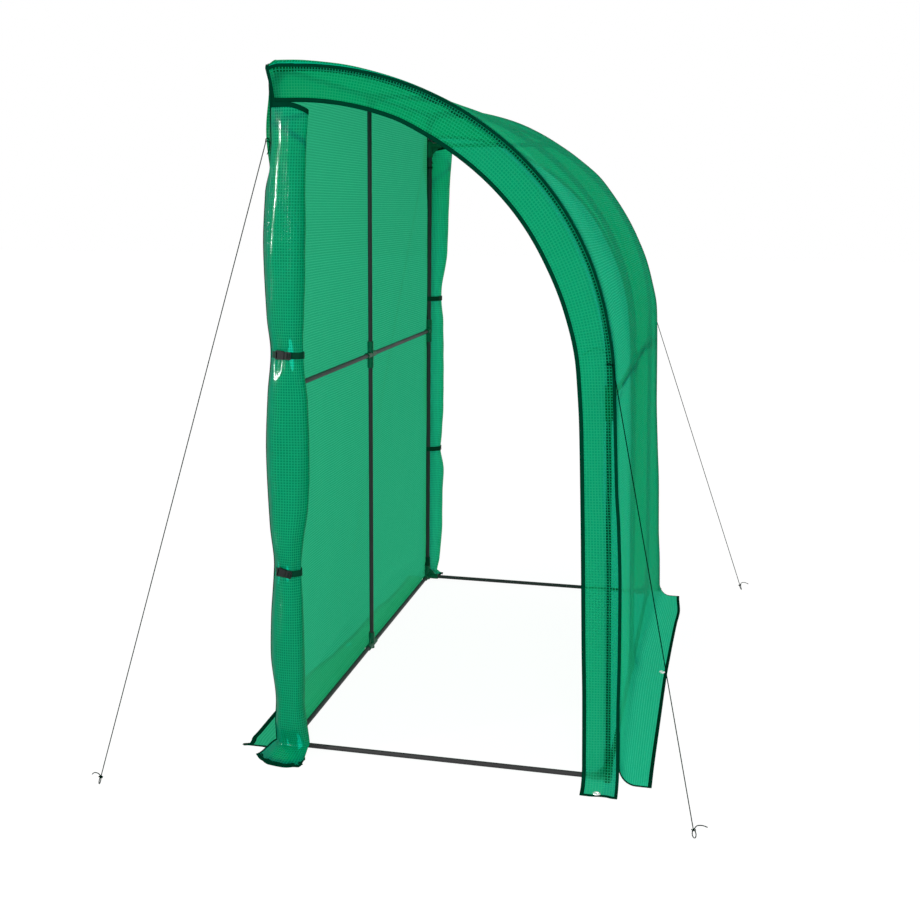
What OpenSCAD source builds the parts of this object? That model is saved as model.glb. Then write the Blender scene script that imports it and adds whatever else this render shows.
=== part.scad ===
// Lean-to greenhouse: a tube frame in moulded sockets, under a bound fabric cover with rolled end doors.
// Millimetres. +Z is up, +X points from the wall side to the front, Y runs along the wall.
// The origin is on the ground, under the middle back post. "Left" is the end at -Y, seen from the front.

/* [Frame] */
// Length between the two end frames, centre line to centre line
frame_length = 1960; // [1400:10:3000]
// Depth at the ground, from the back posts' centre line to the front legs'
frame_depth = 1030; // [800:10:1300]
// Height of the arch tubes' centre line where they meet the back posts
frame_height = 2110; // [1750:10:2600]
// Height of the middle rails' centre line
mid_height = 1175; // [900:5:1190]
// Height at which the arches straighten into the front legs
spring_height = 1260; // [1250:5:1400]
// Angle that the flatter arc of an arch turns through, before the tighter shoulder
crown_angle = 38; // [30:1:50]
// Straight end of an arch tube, where it enters its top socket
arch_lead = 55; // [50:1:120]
// Lean of the front legs from upright
leg_lean = 2; // [0.5:0.5:4]
// How far the right end's tie hangs below the top of the arch
tie_drop = 125; // [70:5:180]

/* [Tubes and sockets] */
// Outer diameter of the frame tubes
tube_d = 16; // [12:0.5:22]
// Wall of the frame tubes
tube_wall = 1; // [0.6:0.1:1.5]
// Distance from a joint's centre to the stop that a tube's end rests on
tube_stop = 11; // [11:1:16]
// Length of tube that a socket takes
socket_depth = 39; // [25:1:48]
// Wall of the moulded sockets
socket_wall = 3.2; // [2:0.1:5]
// Clearance round a tube in its socket
socket_fit = 0.2; // [0.1:0.05:0.5]
// Clearance round the bent arch tube in the tie's clip
clip_fit = 0.6; // [0.5:0.1:0.8]
// How far the ball at the middle of a connector stands proud of its sockets
hub_proud = 1; // [0.5:0.1:3]
// Height of the bottom rails' centre line above the ground
foot_height = 15; // [14:1:25]
// Thickness of the moulded webs in the corners of a connector
web_t = 4; // [2:0.5:6]
// Length of a web along each of its two sockets
web_reach = 38; // [20:1:45]

/* [Cover] */
// Thickness of the cover sheets
sheet_t = 1.5; // [0.8:0.1:3]
// Clearance between the connectors and the cover
sheet_fit = 0.2; // [0.1:0.1:3]
// Width of the border that frames each end opening
border_w = 105; // [60:5:160]
// How far the cover stands out from the legs at the ground, past its gap at the arch
cover_flare = 16; // [0:1:40]
// Width of the binding tape
binding_w = 14; // [8:1:24]
// Thickness of the binding tape
binding_t = 1.2; // [0.8:0.1:2]
// Inner radius of the bend from the cover into its front and end skirts
skirt_bend = 60; // [20:5:100]
// Inner radius of the bend from the back wall into its skirt
back_bend = 20; // [10:5:60]
// Flat width of the front skirt, past its bend
front_skirt_flat = 54; // [30:1:120]
// Flat width of the back skirt, past its bend
back_skirt_flat = 120; // [30:1:160]
// Flat width of the end borders' skirts, past their bend
end_skirt_flat = 41; // [24:1:100]
// Height of the straps that tie the cover to the legs, above the ground
leg_strap_z = 68; // [67:1:300]
// Length of the leg straps along the leg
leg_strap_h = 40; // [20:1:60]

/* [Rolled doors] */
// Width of a rolled door, along the end
roll_w = 124; // [90:1:150]
// Thickness of a rolled door, out from the end
roll_t = 62; // [45:1:90]
// Width of the roll where a strap gathers it
waist_w = 84; // [60:1:100]
// Thickness of the roll where a strap gathers it
waist_t = 53; // [40:1:60]
// Heights of the left roll's straps
left_strap_z = [615, 1290];
// Heights of the right roll's straps
right_strap_z = [630, 1320];
// Width of the strap webbing
strap_w = 20; // [15:1:30]
// Thickness of the strap webbing
strap_t = 1.5; // [1:0.1:3]
// Radius of the hem that spreads on the ground under the roll
hem_r = 86; // [60:1:110]
// Height of the hem where it gathers into the roll
hem_h = 46; // [30:1:80]

/* [Buckles] */
// Length of a side-release buckle
buckle_l = 48; // [36:1:60]
// Height of a side-release buckle
buckle_h = 28; // [22:1:36]
// Thickness of a side-release buckle
buckle_t = 9; // [6:0.5:12]
// How far in from the left roll's edge its lower and upper buckle start
left_buckle_in = [2, 12];
// How far in from the right roll's edge its lower and upper buckle start
right_buckle_in = [-6, -6];
// How far the lower and the upper buckle tip off the level as the roll hangs
buckle_tilt = [14, 4];

/* [Eyelets and stays] */
// Radius of the hole in an eyelet
eyelet_r = 5; // [3:0.5:8]
// Width of an eyelet's flange, from its hole to its rim
eyelet_flange = 4.5; // [3:0.5:6]
// Thickness of an eyelet's flange
eyelet_t = 1.2; // [0.8:0.1:2]
// Diameter of the stay ropes
rope_d = 3.5; // [2.5:0.1:5]
// Height at which a back stay is tied to its post
back_stay_z = 1890; // [1500:5:1950]
// Height at which a front stay is tied to its arch
front_stay_z = 1285; // [1260:5:1400]
// Inner radius of the loop that a peg goes through
loop_r = 7; // [5:0.5:15]

/* [Hidden] */
$fn = 48;

tube_colour = "#26282a";
socket_colour = "#0d4029";
cover_colour = "#1a9a69";
binding_colour = "#0a3d25";
buckle_colour = "#151716";
eyelet_colour = "#d5d8d6";
rope_colour = "#12442c";

// The smallest gap, between pieces that lie face to face.
touch = 0.05;
half = frame_length / 2;
bays = [-half, 0, half];
tube_r = tube_d / 2;
bore_r = tube_r + socket_fit;
socket_r = bore_r + socket_wall;
hub_r = socket_r + hub_proud;
socket_reach = tube_stop + socket_depth;
tube_end = tube_stop + touch;

// The arch: a straight lead, a flat crown arc and a tighter shoulder arc, tangent to the leaning leg.
function leg_x(z) = frame_depth - z * tan(leg_lean);
leg_dir = [-sin(leg_lean), 0, cos(leg_lean)];
spring = [leg_x(spring_height), spring_height];
shoulder_end = 90 - leg_lean;
arch_span = spring.x - arch_lead;
arch_rise = frame_height - spring_height;
arc_x = [sin(crown_angle), sin(shoulder_end) - sin(crown_angle)];
arc_z = [1 - cos(crown_angle), cos(crown_angle) - cos(shoulder_end)];
arc_det = arc_x[0] * arc_z[1] - arc_x[1] * arc_z[0];
crown_r = (arch_span * arc_z[1] - arc_x[1] * arch_rise) / arc_det;
shoulder_r = (arc_x[0] * arch_rise - arc_z[0] * arch_span) / arc_det;
crown_centre = [arch_lead, frame_height - crown_r];
shoulder_centre = crown_centre + (crown_r - shoulder_r) * [sin(crown_angle), cos(crown_angle)];

// A point [x, z] in the frame whose origin is the springing and whose z runs up the leg.
function in_leg_frame(p) =
    let (d = p - spring) [d.x * cos(leg_lean) + d.y * sin(leg_lean), d.y * cos(leg_lean) - d.x * sin(leg_lean)];

// The cover's inner face, measured out from the tubes' centre lines, and its outer face.
gap = hub_r + sheet_fit;
cover = gap + sheet_t;
skirt_top = skirt_bend + sheet_t;
back_skirt_top = back_bend + sheet_t;
cover_end = half + cover;
foot_line = leg_x(skirt_top) + cover_flare;

// The tie meets the arch at this angle round whichever arc it reaches.
tie_z = frame_height - tie_drop;
on_crown = tie_drop <= crown_r * (1 - cos(crown_angle));
tie_arc_centre = on_crown ? crown_centre : shoulder_centre;
tie_arc_r = on_crown ? crown_r : shoulder_r;
tie_angle = acos((tie_z - tie_arc_centre.y) / tie_arc_r);
tie_x = tie_arc_centre.x + tie_arc_r * sin(tie_angle);
clip_stop = (2 * bore_r + 1.5) / sin(tie_angle);
clip_arm = clip_stop + socket_depth - 6;
tee_stop = bore_r + 2;

roll_x = roll_w / 2 - 2 * cover;
roll_face = cover_end + binding_t + 4 * touch;
roll_y = roll_face + roll_t / 2;
roll_top = frame_height + cover - border_w + binding_w;
waist_x = waist_w / 2 - tube_r + 1;
waist_y = roll_face + waist_t / 2;
strap_gap = 0.3;

eyelet_out = eyelet_r + eyelet_flange;
front_eyelet_x = foot_line + cover + skirt_bend + front_skirt_flat / 2;
back_eyelet_x = -cover - back_bend - back_skirt_flat / 2;
end_eyelet_x = foot_line + cover - border_w / 2;
end_eyelet_y = cover_end + skirt_bend + end_skirt_flat / 2;

// Where each stay's loop meets the ground: across from its leg or post, and along from it.
rope_r = rope_d / 2;
knot_r = 2 * rope_r;
tie_fit = 0.3;
tie_ring_r = tube_r + tie_fit + rope_r;
knot_out = tube_r + 3 * tie_fit + knot_r;
peg_z = loop_r + 2 * rope_r;
back_tie = [0, half, back_stay_z];
front_tie_angle = 90 - leg_lean - asin((front_stay_z - spring_height) / shoulder_r);
front_tie = [shoulder_centre.x + shoulder_r * sin(front_tie_angle), half, front_stay_z];
front_lean = front_tie_angle - 90;
back_peg = [-480, half + 390, peg_z];
left_front_peg = [leg_x(0) + 270, half + 295, peg_z];
right_front_peg = [leg_x(0) + 420, half + 195, peg_z];

// Turns +Z to the direction d.
module along(d) {
    rotate([0, acos(d.z / norm(d)), atan2(d.y, d.x)]) children();
}

// A straight hollow tube from a to b.
module tube(a, b) {
    translate(a) along(b - a) difference() {
        cylinder(d = tube_d, h = norm(b - a));
        translate([0, 0, -1]) cylinder(r = tube_r - tube_wall, h = norm(b - a) + 2);
    }
}

// A tube between two joints' centres, held off each by its stop.
module frame_tube(a, b) {
    u = (b - a) / norm(b - a);
    tube(a + tube_end * u, b - tube_end * u);
}

// A straight rod from a to b.
module rod(a, b, r) {
    translate(a) along(b - a) cylinder(r = r, h = norm(b - a));
}

// Sweeps a profile from x0 along the arch's straight lead and round its flatter arc. The profile's x
// is measured from the arc's centre.
module crown_sweep(x0) {
    lead = arch_lead - x0;
    translate([crown_centre.x, 0, crown_centre.y]) rotate([90, 0, 0]) rotate(90) {
        translate([0, lead, 0]) rotate([90, 0, 0]) linear_extrude(lead) children();
        rotate_extrude(angle = -crown_angle) children();
    }
}

// The frame of the leg: its origin is where the arch springs, and its z runs up the leg.
module leg_frame() {
    translate([spring.x, 0, spring.y]) rotate([0, -leg_lean, 0]) children();
}

// Sweeps a profile round the arch's shoulder, inside leg_frame. The two arcs meet face to face.
module shoulder_sweep() {
    translate([-shoulder_r, 0, 0]) rotate([90, 0, 0])
        rotate_extrude(angle = shoulder_end - crown_angle - asin(touch / shoulder_r)) children();
}

module tube_section() {
    difference() {
        circle(d = tube_d);
        circle(r = tube_r - tube_wall);
    }
}

// A flat-sided band that follows the arch, from offset o1 to o2 outside its centre line, t long in Y.
// It starts at x0, behind the back post, and runs down to the skirt.
module arch_band(o1, o2, t, x0) {
    crown_sweep(x0) translate([crown_r + o1, -t / 2]) square([o2 - o1, t]);
    leg_frame() {
        shoulder_sweep() translate([shoulder_r + o1, -t / 2]) square([o2 - o1, t]);
        translate([0, t / 2, 0]) rotate([90, 0, 0]) linear_extrude(t) polygon([
            [o1, 0],
            [o2, 0],
            in_leg_frame([foot_line + o2, skirt_top + touch]),
            in_leg_frame([foot_line + o1, skirt_top + touch])]);
    }
}

// A skirt: a quarter bend from the upright sheet to the ground, then a flat strip. It runs out in +X
// from the sheet's outer face at x = 0, and is w wide in Y.
module skirt(bend, flat, w) {
    translate([bend, w / 2, bend + sheet_t]) rotate([90, 0, 0]) rotate([0, 0, 180])
        rotate_extrude(angle = 90) translate([bend, 0]) square([sheet_t, w]);
    translate([bend + touch, -w / 2, 0]) cube([flat - touch, w, sheet_t]);
}

// A moulded connector: a ball with a socket along each arm, and webs between pairs of arms. The ball
// is turned so that its poles are clear of the arms.
module connector(arms, webs = []) {
    difference() {
        union() {
            along([1, 2, 3]) sphere(r = hub_r);
            for (d = arms) along(d) cylinder(r = socket_r, h = socket_reach);
            for (w = webs) web(arms[w[0]], arms[w[1]]);
        }
        for (d = arms) along(d) translate([0, 0, tube_stop]) cylinder(r = bore_r, h = socket_depth + 1);
    }
}

// A triangular web that fills the corner between the arms d and e.
module web(d, e) {
    n = cross(d, e) / norm(cross(d, e));
    across = cross(n, d);
    reach = web_reach + socket_r;
    multmatrix([
        [d.x, across.x, n.x, 0],
        [d.y, across.y, n.y, 0],
        [d.z, across.z, n.z, 0],
        [0, 0, 0, 1]])
        translate([0, 0, -web_t / 2]) linear_extrude(web_t) polygon([[0, 0], [reach, 0], [0, reach]]);
}

// Frame tubes -------------------------------------------------------------------------------------

module left_back_post() { back_post(bays[0]); }
module middle_back_post() { back_post(bays[1]); }
module right_back_post() { back_post(bays[2]); }
module left_arch() { arch(bays[0]); }
module middle_arch() { arch(bays[1]); }
module right_arch() { arch(bays[2]); }
module left_front_leg() { front_leg(bays[0]); }
module middle_front_leg() { front_leg(bays[1]); }
module right_front_leg() { front_leg(bays[2]); }
module back_top_rail() { rail(0, frame_height); }
module back_middle_rail() { rail(0, mid_height); }
module back_bottom_rail() { rail(0, foot_height); }
module front_middle_rail() { rail(leg_x(mid_height), mid_height); }
module front_bottom_rail() { rail(leg_x(foot_height), foot_height); }
module left_sill() { sill(bays[0]); }
module right_sill() { sill(bays[2]); }

// A back post is two tubes that meet in its cross connector.
module back_post(y) {
    color(tube_colour) {
        frame_tube([0, y, foot_height], [0, y, mid_height]);
        frame_tube([0, y, mid_height], [0, y, frame_height]);
    }
}

// An arch is two bent tubes that meet at the shoulder, between its top and cross connectors.
module arch(y) {
    leg_end = (spring_height - mid_height) / cos(leg_lean) - tube_end;
    color(tube_colour) translate([0, y, 0]) {
        crown_sweep(tube_end) translate([crown_r, 0]) tube_section();
        leg_frame() {
            shoulder_sweep() translate([shoulder_r, 0]) tube_section();
            tube([0, 0, -leg_end], [0, 0, 0]);
        }
    }
}

module front_leg(y) {
    color(tube_colour) frame_tube([leg_x(foot_height), y, foot_height], [leg_x(mid_height), y, mid_height]);
}

// A rail is one tube in each bay.
module rail(x, z) {
    color(tube_colour) for (i = [0, 1]) frame_tube([x, bays[i], z], [x, bays[i + 1], z]);
}

module sill(y) {
    color(tube_colour) frame_tube([0, y, foot_height], [leg_x(foot_height), y, foot_height]);
}

// The right end's tie runs level from a tee on the back post to a clip on the arch.
module right_tie() {
    color(tube_colour) tube([tee_stop + touch, half, tie_z], [tie_x - clip_stop - touch, half, tie_z]);
}

// Connectors --------------------------------------------------------------------------------------

// The rails that leave a joint in the bay at index i: one at an end, two in the middle.
function rail_arms(i) = [if (i < 2) [0, 1, 0], if (i > 0) [0, -1, 0]];

module top_connectors() {
    color(socket_colour) for (i = [0 : 2]) translate([0, bays[i], frame_height]) {
        arms = concat([[0, 0, -1], [1, 0, 0]], rail_arms(i));
        connector(arms, [[0, 1], for (k = [2 : len(arms) - 1]) [0, k]]);
    }
}

module back_cross_connectors() {
    color(socket_colour) for (i = [0 : 2]) translate([0, bays[i], mid_height])
        connector(concat([[0, 0, 1], [0, 0, -1]], rail_arms(i)));
}

module front_cross_connectors() {
    color(socket_colour) for (i = [0 : 2]) translate([leg_x(mid_height), bays[i], mid_height])
        connector(concat([leg_dir, -leg_dir], rail_arms(i)));
}

module back_foot_connectors() {
    for (i = [0 : 2]) foot_connector([0, bays[i], foot_height], [0, 0, 1], 1, i);
}

module front_foot_connectors() {
    for (i = [0 : 2]) foot_connector([leg_x(foot_height), bays[i], foot_height], leg_dir, -1, i);
}

// A foot has a flat pad on the ground. Only the end feet hold a sill, which leaves along sill_side in X.
module foot_connector(place, leg, sill_side, i) {
    arms = concat([leg], rail_arms(i), [if (i != 1) [sill_side, 0, 0]]);
    color(socket_colour) {
        translate(place) connector(arms, [for (k = [1 : len(arms) - 1]) [0, k]]);
        translate([place.x, place.y, 0]) cylinder(r = socket_r, h = foot_height - tube_r);
    }
}

module tie_tee() {
    color(socket_colour) translate([0, half, tie_z]) difference() {
        union() {
            translate([0, 0, -socket_reach]) cylinder(r = socket_r, h = socket_reach + socket_r + 4);
            along([1, 0, 0]) cylinder(r = socket_r, h = tee_stop + socket_depth);
            web([0, 0, -1], [1, 0, 0]);
        }
        translate([0, 0, -socket_reach - 1]) cylinder(r = bore_r, h = 2 * socket_reach);
        translate([tee_stop, 0, 0]) along([1, 0, 0]) cylinder(r = bore_r, h = socket_depth + 1);
    }
}

module tie_clip() {
    tangent = [cos(tie_angle), 0, -sin(tie_angle)];
    sleeve = 2 * socket_r;
    color(socket_colour) translate([tie_x, half, tie_z]) difference() {
        union() {
            rod(-sleeve * tangent, sleeve * tangent, socket_r);
            along([-1, 0, 0]) cylinder(r = socket_r, h = clip_arm);
        }
        rod(-2 * sleeve * tangent, 2 * sleeve * tangent, tube_r + clip_fit + sleeve ^ 2 / (2 * tie_arc_r));
        translate([-clip_stop, 0, 0]) along([-1, 0, 0]) cylinder(r = bore_r, h = clip_arm);
    }
}

// Cover -------------------------------------------------------------------------------------------

module roof_cover() {
    color(cover_colour) difference() {
        arch_band(gap, cover, 2 * cover_end, -cover);
        stay_hole(front_tie, right_front_peg);
        mirror([0, 1, 0]) stay_hole(front_tie, left_front_peg);
    }
}

module back_wall_cover() {
    color(cover_colour) difference() {
        translate([-cover, -cover_end, back_skirt_top + touch])
            cube([sheet_t, 2 * cover_end, frame_height + gap - back_skirt_top - 2 * touch]);
        stay_hole(back_tie, back_peg);
        mirror([0, 1, 0]) stay_hole(back_tie, back_peg);
    }
}

module left_border() { mirror([0, 1, 0]) border(left_front_peg); }
module right_border() { border(right_front_peg); }

// The border frames an end opening along the arch and down the leg, and spreads on the ground.
module border(front_peg) {
    color(cover_colour) difference() {
        union() {
            translate([0, half + gap + sheet_t / 2, 0]) arch_band(cover - border_w, gap, sheet_t, -gap);
            translate([foot_line + gap - (border_w - sheet_t) / 2, cover_end, 0]) rotate(90)
                skirt(skirt_bend, end_skirt_flat, border_w - sheet_t);
        }
        stay_hole(front_tie, front_peg);
        translate([end_eyelet_x, end_eyelet_y, -1]) cylinder(r = eyelet_out - 2, h = sheet_t + 2);
    }
}

module left_binding() { mirror([0, 1, 0]) binding(left_front_peg); }
module right_binding() { binding(right_front_peg); }

// Tape round both edges of an end border.
module binding(front_peg) {
    color(binding_colour) difference() {
        translate([0, cover_end + touch + binding_t / 2, 0]) {
            arch_band(cover - binding_w, cover, binding_t, -cover);
            arch_band(cover - border_w, cover - border_w + binding_w, binding_t, -gap);
        }
        stay_hole(front_tie, front_peg);
    }
}

module front_skirt() {
    color(cover_colour) difference() {
        translate([foot_line + cover, 0, 0]) skirt(skirt_bend, front_skirt_flat, 2 * cover_end);
        translate([front_eyelet_x, 0, -1]) cylinder(r = eyelet_out - 2, h = sheet_t + 2);
    }
}

module back_skirt() {
    color(cover_colour) difference() {
        translate([-cover, 0, 0]) rotate(180) skirt(back_bend, back_skirt_flat, 2 * cover_end);
        translate([back_eyelet_x, 0, -1]) cylinder(r = eyelet_out - 2, h = sheet_t + 2);
    }
}

// Straps that close round the four corner legs, each with a loose tab towards the inside.
module leg_straps() {
    color(binding_colour) for (y = [bays[0], bays[2]]) {
        translate([0, y, leg_strap_z]) leg_strap(1);
        translate([leg_x(leg_strap_z), y, leg_strap_z]) rotate([0, -leg_lean, 0]) leg_strap(-1);
    }
}

module leg_strap(side) {
    difference() {
        union() {
            cylinder(r = bore_r + strap_t, h = leg_strap_h);
            translate([side > 0 ? 0 : -2 * tube_r, -strap_t / 2, 2])
                cube([2 * tube_r, strap_t, leg_strap_h - 4]);
        }
        translate([0, 0, -1]) cylinder(r = bore_r, h = leg_strap_h + 2);
    }
}

// Rolled doors ------------------------------------------------------------------------------------

module left_door_roll() { mirror([0, 1, 0]) door_roll(left_strap_z); }
module right_door_roll() { door_roll(right_strap_z); }
module left_door_straps() { mirror([0, 1, 0]) door_straps(left_strap_z); }
module right_door_straps() { door_straps(right_strap_z); }
module left_door_buckles() { mirror([0, 1, 0]) door_buckles(left_strap_z, left_buckle_in); }
module right_door_buckles() { door_buckles(right_strap_z, right_buckle_in); }

// A flat bundle with round edges, x wide and y thick, about the point c.
module bundle(c, x, y, z0, z1) {
    flat = (x - y) / 2;
    translate([c.x, c.y, z0]) linear_extrude(z1 - z0) {
        for (s = [-1, 1]) translate([s * flat, 0]) circle(d = y);
        square([2 * flat, y], center = true);
    }
}

// The rolled door hangs outside its end frame, gathered by two straps, and its hem spreads on the ground.
module door_roll(strap_z) {
    full = [roll_x, roll_y];
    waist = [waist_x, waist_y];
    reach = strap_w / 2 + 11;
    low = [strap_z[0] - reach, strap_z[0] + reach];
    high = [strap_z[1] - reach, strap_z[1] + reach];
    color(cover_colour) {
        bundle(full, roll_w, roll_t, hem_h, low[0]);
        bundle(waist, waist_w, waist_t, low[0], low[1]);
        bundle(full, roll_w, roll_t, low[1], high[0]);
        bundle(waist, waist_w, waist_t, high[0], high[1]);
        bundle(full, roll_w, roll_t, high[1], roll_top);
        intersection() {
            translate([roll_x - roll_w / 4, roll_y, 0]) cylinder(r1 = hem_r, r2 = roll_t / 2 - 1, h = hem_h);
            translate([-hem_r * 2, roll_y - roll_t / 2, -1]) cube([hem_r * 5, hem_r * 3, hem_h + 2]);
        }
    }
}

// Each strap closes round the gathered roll and the back post behind it.
module door_straps(strap_z) {
    r = tube_r + strap_gap;
    y0 = half;
    y1 = waist_y + waist_t / 2 + strap_gap - r;
    x1 = waist_x + waist_w / 2 + strap_gap - r;
    color(binding_colour) for (z = strap_z)
        translate([0, 0, z - strap_w / 2]) linear_extrude(strap_w) difference() {
            strap_loop(r + strap_t, x1, y0, y1);
            strap_loop(r, x1, y0, y1);
        }
}

// A rectangle from [0, y0] to [x1, y1] with its edges moved out by r and its corners round.
module strap_loop(r, x1, y0, y1) {
    translate([-r, y0]) square([x1 + 2 * r, y1 - y0]);
    translate([0, y0 - r]) square([x1, y1 - y0 + 2 * r]);
    for (x = [0, x1], y = [y0, y1]) translate([x, y]) circle(r);
}

module door_buckles(strap_z, buckle_in) {
    face_y = waist_y + waist_t / 2 + strap_gap + strap_t;
    for (i = [0, 1])
        translate([waist_x - waist_w / 2 + buckle_in[i] + buckle_l / 2, face_y, strap_z[i]])
            rotate([0, buckle_tilt[i], 0]) buckle();
}

// A side-release buckle that lies on a strap: a hollow body, and a fork whose prongs show at its sides.
module buckle() {
    body_l = buckle_l * 0.56;
    prong = 4;
    bar = 3;
    color(buckle_colour) rotate([-90, 0, 0]) {
        difference() {
            linear_extrude(buckle_t) difference() {
                polygon([[-buckle_l / 2, -buckle_h / 2 + 3], [-buckle_l / 2 + 3, -buckle_h / 2],
                         [-buckle_l / 2 + body_l, -buckle_h / 2 + 2], [-buckle_l / 2 + body_l, buckle_h / 2 - 2],
                         [-buckle_l / 2 + 3, buckle_h / 2], [-buckle_l / 2, buckle_h / 2 - 3]]);
                translate([-buckle_l / 2 + bar, -buckle_h / 2 + bar + 1]) square([bar, buckle_h - 2 * bar - 2]);
            }
            for (s = [-1, 1]) translate([0, s * buckle_h / 2, buckle_t / 2])
                cube([buckle_l * 0.34, 2 * prong, buckle_t / 2], center = true);
        }
        translate([0, 0, buckle_t * 0.2]) linear_extrude(buckle_t * 0.6) difference() {
            polygon([[-buckle_l / 2 + body_l, -buckle_h / 2 + 3], [buckle_l / 2 - 3, -buckle_h / 2 + 2],
                     [buckle_l / 2, -buckle_h / 2 + 5], [buckle_l / 2, buckle_h / 2 - 5],
                     [buckle_l / 2 - 3, buckle_h / 2 - 2], [-buckle_l / 2 + body_l, buckle_h / 2 - 3]]);
            for (k = [0, 1]) translate([buckle_l / 2 - bar * (2 + 2 * k), -buckle_h / 2 + bar + 3])
                square([bar, buckle_h - 2 * bar - 6]);
        }
    }
}

// Eyelets and stays -------------------------------------------------------------------------------

module eyelets() {
    color(eyelet_colour) {
        translate([front_eyelet_x, 0, 0]) eyelet();
        translate([back_eyelet_x, 0, 0]) eyelet();
        for (s = [-1, 1]) translate([end_eyelet_x, s * end_eyelet_y, 0]) eyelet();
    }
}

// A pressed eyelet: its barrel goes through the sheet, and its flange lies on top.
module eyelet() {
    difference() {
        union() {
            cylinder(r = eyelet_out - 2 - 0.1, h = sheet_t);
            translate([0, 0, sheet_t]) cylinder(r = eyelet_out, h = eyelet_t);
        }
        translate([0, 0, -1]) cylinder(r = eyelet_r, h = sheet_t + eyelet_t + 2);
    }
}

module left_back_stay() { mirror([0, 1, 0]) stay(back_tie, 0, back_peg); }
module right_back_stay() { stay(back_tie, 0, back_peg); }
module left_front_stay() { mirror([0, 1, 0]) stay(front_tie, front_lean, left_front_peg); }
module right_front_stay() { stay(front_tie, front_lean, right_front_peg); }

// The knot where a stay leaves the ring that ties it to its tube.
function stay_start(tie, peg) =
    let (out = [peg.x - tie.x, peg.y - tie.y, 0]) tie + knot_out * out / norm(out);

// The way from a stay's start down to its peg.
function stay_way(tie, peg) =
    let (way = peg - stay_start(tie, peg)) way / norm(way);

// A taut rope: a ring round its tube at the top, a straight run, and a knotted loop for a peg at the foot.
module stay(tie, lean, peg) {
    start = stay_start(tie, peg);
    way = stay_way(tie, peg);
    knot = peg - (loop_r + 2.5 * rope_r) * way;
    color(rope_colour) {
        translate(tie) rotate([0, lean, 0]) rotate_extrude() translate([tie_ring_r, 0]) circle(rope_r);
        translate(start) sphere(knot_r);
        rod(start + 1.5 * rope_r * way, knot, rope_r);
        translate(knot) sphere(knot_r);
        translate(peg) along(cross(way, cross(way, [0, 0, 1])))
            rotate_extrude() translate([loop_r + rope_r, 0]) circle(rope_r);
    }
}

// The way that a stay takes out through the corner of the cover, at the +Y end.
module stay_hole(tie, peg) {
    start = stay_start(tie, peg);
    way = stay_way(tie, peg);
    rod(start - 2 * knot_r * way, start + 160 * way, knot_r + tie_fit);
}

left_back_post();
middle_back_post();
right_back_post();
left_arch();
middle_arch();
right_arch();
left_front_leg();
middle_front_leg();
right_front_leg();
back_top_rail();
back_middle_rail();
back_bottom_rail();
front_middle_rail();
front_bottom_rail();
left_sill();
right_sill();
right_tie();
top_connectors();
back_cross_connectors();
front_cross_connectors();
back_foot_connectors();
front_foot_connectors();
tie_tee();
tie_clip();
roof_cover();
back_wall_cover();
left_border();
right_border();
left_binding();
right_binding();
front_skirt();
back_skirt();
left_door_roll();
right_door_roll();
left_door_straps();
right_door_straps();
left_door_buckles();
right_door_buckles();
leg_straps();
eyelets();
left_back_stay();
right_back_stay();
left_front_stay();
right_front_stay();
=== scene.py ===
"""Looks of the lean-to greenhouse: reinforced film cover, bound edges, rolled doors, straps and ropes."""
import math

import bmesh
import bpy
import numpy as np
from mathutils import Matrix, Vector


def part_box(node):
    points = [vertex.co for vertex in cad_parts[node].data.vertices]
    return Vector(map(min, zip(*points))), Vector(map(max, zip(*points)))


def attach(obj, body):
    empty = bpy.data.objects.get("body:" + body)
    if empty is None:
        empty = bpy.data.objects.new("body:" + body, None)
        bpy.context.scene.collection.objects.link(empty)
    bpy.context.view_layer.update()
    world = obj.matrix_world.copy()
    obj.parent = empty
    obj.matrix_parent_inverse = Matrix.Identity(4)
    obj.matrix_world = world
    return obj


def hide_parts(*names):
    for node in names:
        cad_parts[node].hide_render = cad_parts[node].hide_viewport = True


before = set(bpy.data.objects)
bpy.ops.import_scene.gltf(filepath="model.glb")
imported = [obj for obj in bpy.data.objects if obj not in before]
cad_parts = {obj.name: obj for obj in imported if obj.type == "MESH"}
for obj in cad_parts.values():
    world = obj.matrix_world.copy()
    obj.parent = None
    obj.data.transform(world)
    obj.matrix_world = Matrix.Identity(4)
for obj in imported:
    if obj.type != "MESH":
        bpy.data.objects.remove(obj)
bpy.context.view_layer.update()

# ---------------------------------------------------------------- sizes, in metres, from the frame


def middle(node):
    """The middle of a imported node's box."""
    low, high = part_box(node)
    return (low + high) / 2


TUBE_R = (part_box("back_top_rail")[1].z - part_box("back_top_rail")[0].z) / 2
HALF = middle("right_back_post").y  # from the middle to the tubes of an end
HEIGHT = middle("back_top_rail").z
MID_HEIGHT = middle("back_middle_rail").z
FOOT_HEIGHT = middle("back_bottom_rail").z
END_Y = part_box("roof_cover")[1].y  # outer face of the cover's ends
COVER = -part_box("roof_cover")[0].x  # outer face of the cover, from the tubes' centre lines
LEAN = math.radians(2)  # how far the front legs lean back
CROWN_TURN = math.radians(38)  # how far the arch turns in its wide crown arc
LEAD = 0.055  # level start of the arch at the back post
SPRING_Z = 1.26  # height at which the straight leg starts
leg_low, leg_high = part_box("middle_front_leg")
FOOT_X = leg_high.x - TUBE_R * math.cos(LEAN) + (leg_low.z + TUBE_R * math.sin(LEAN)) * math.tan(LEAN)
TAPE_W = 0.013  # width of the binding tape
INNER_W = 0.0125  # width of the tape on the borders' inner edges
SEAM_W = 0.010  # width of the tape bound over the ends' seams
TAPE_T = 0.0022  # thickness of a bound edge
NEAR_TUBE = 0.0006  # gap between a tube and the film that lies on it


def leg_x(z):
    """How far forward the front legs' centre lines are at a height."""
    return FOOT_X - z * math.tan(LEAN)


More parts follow.
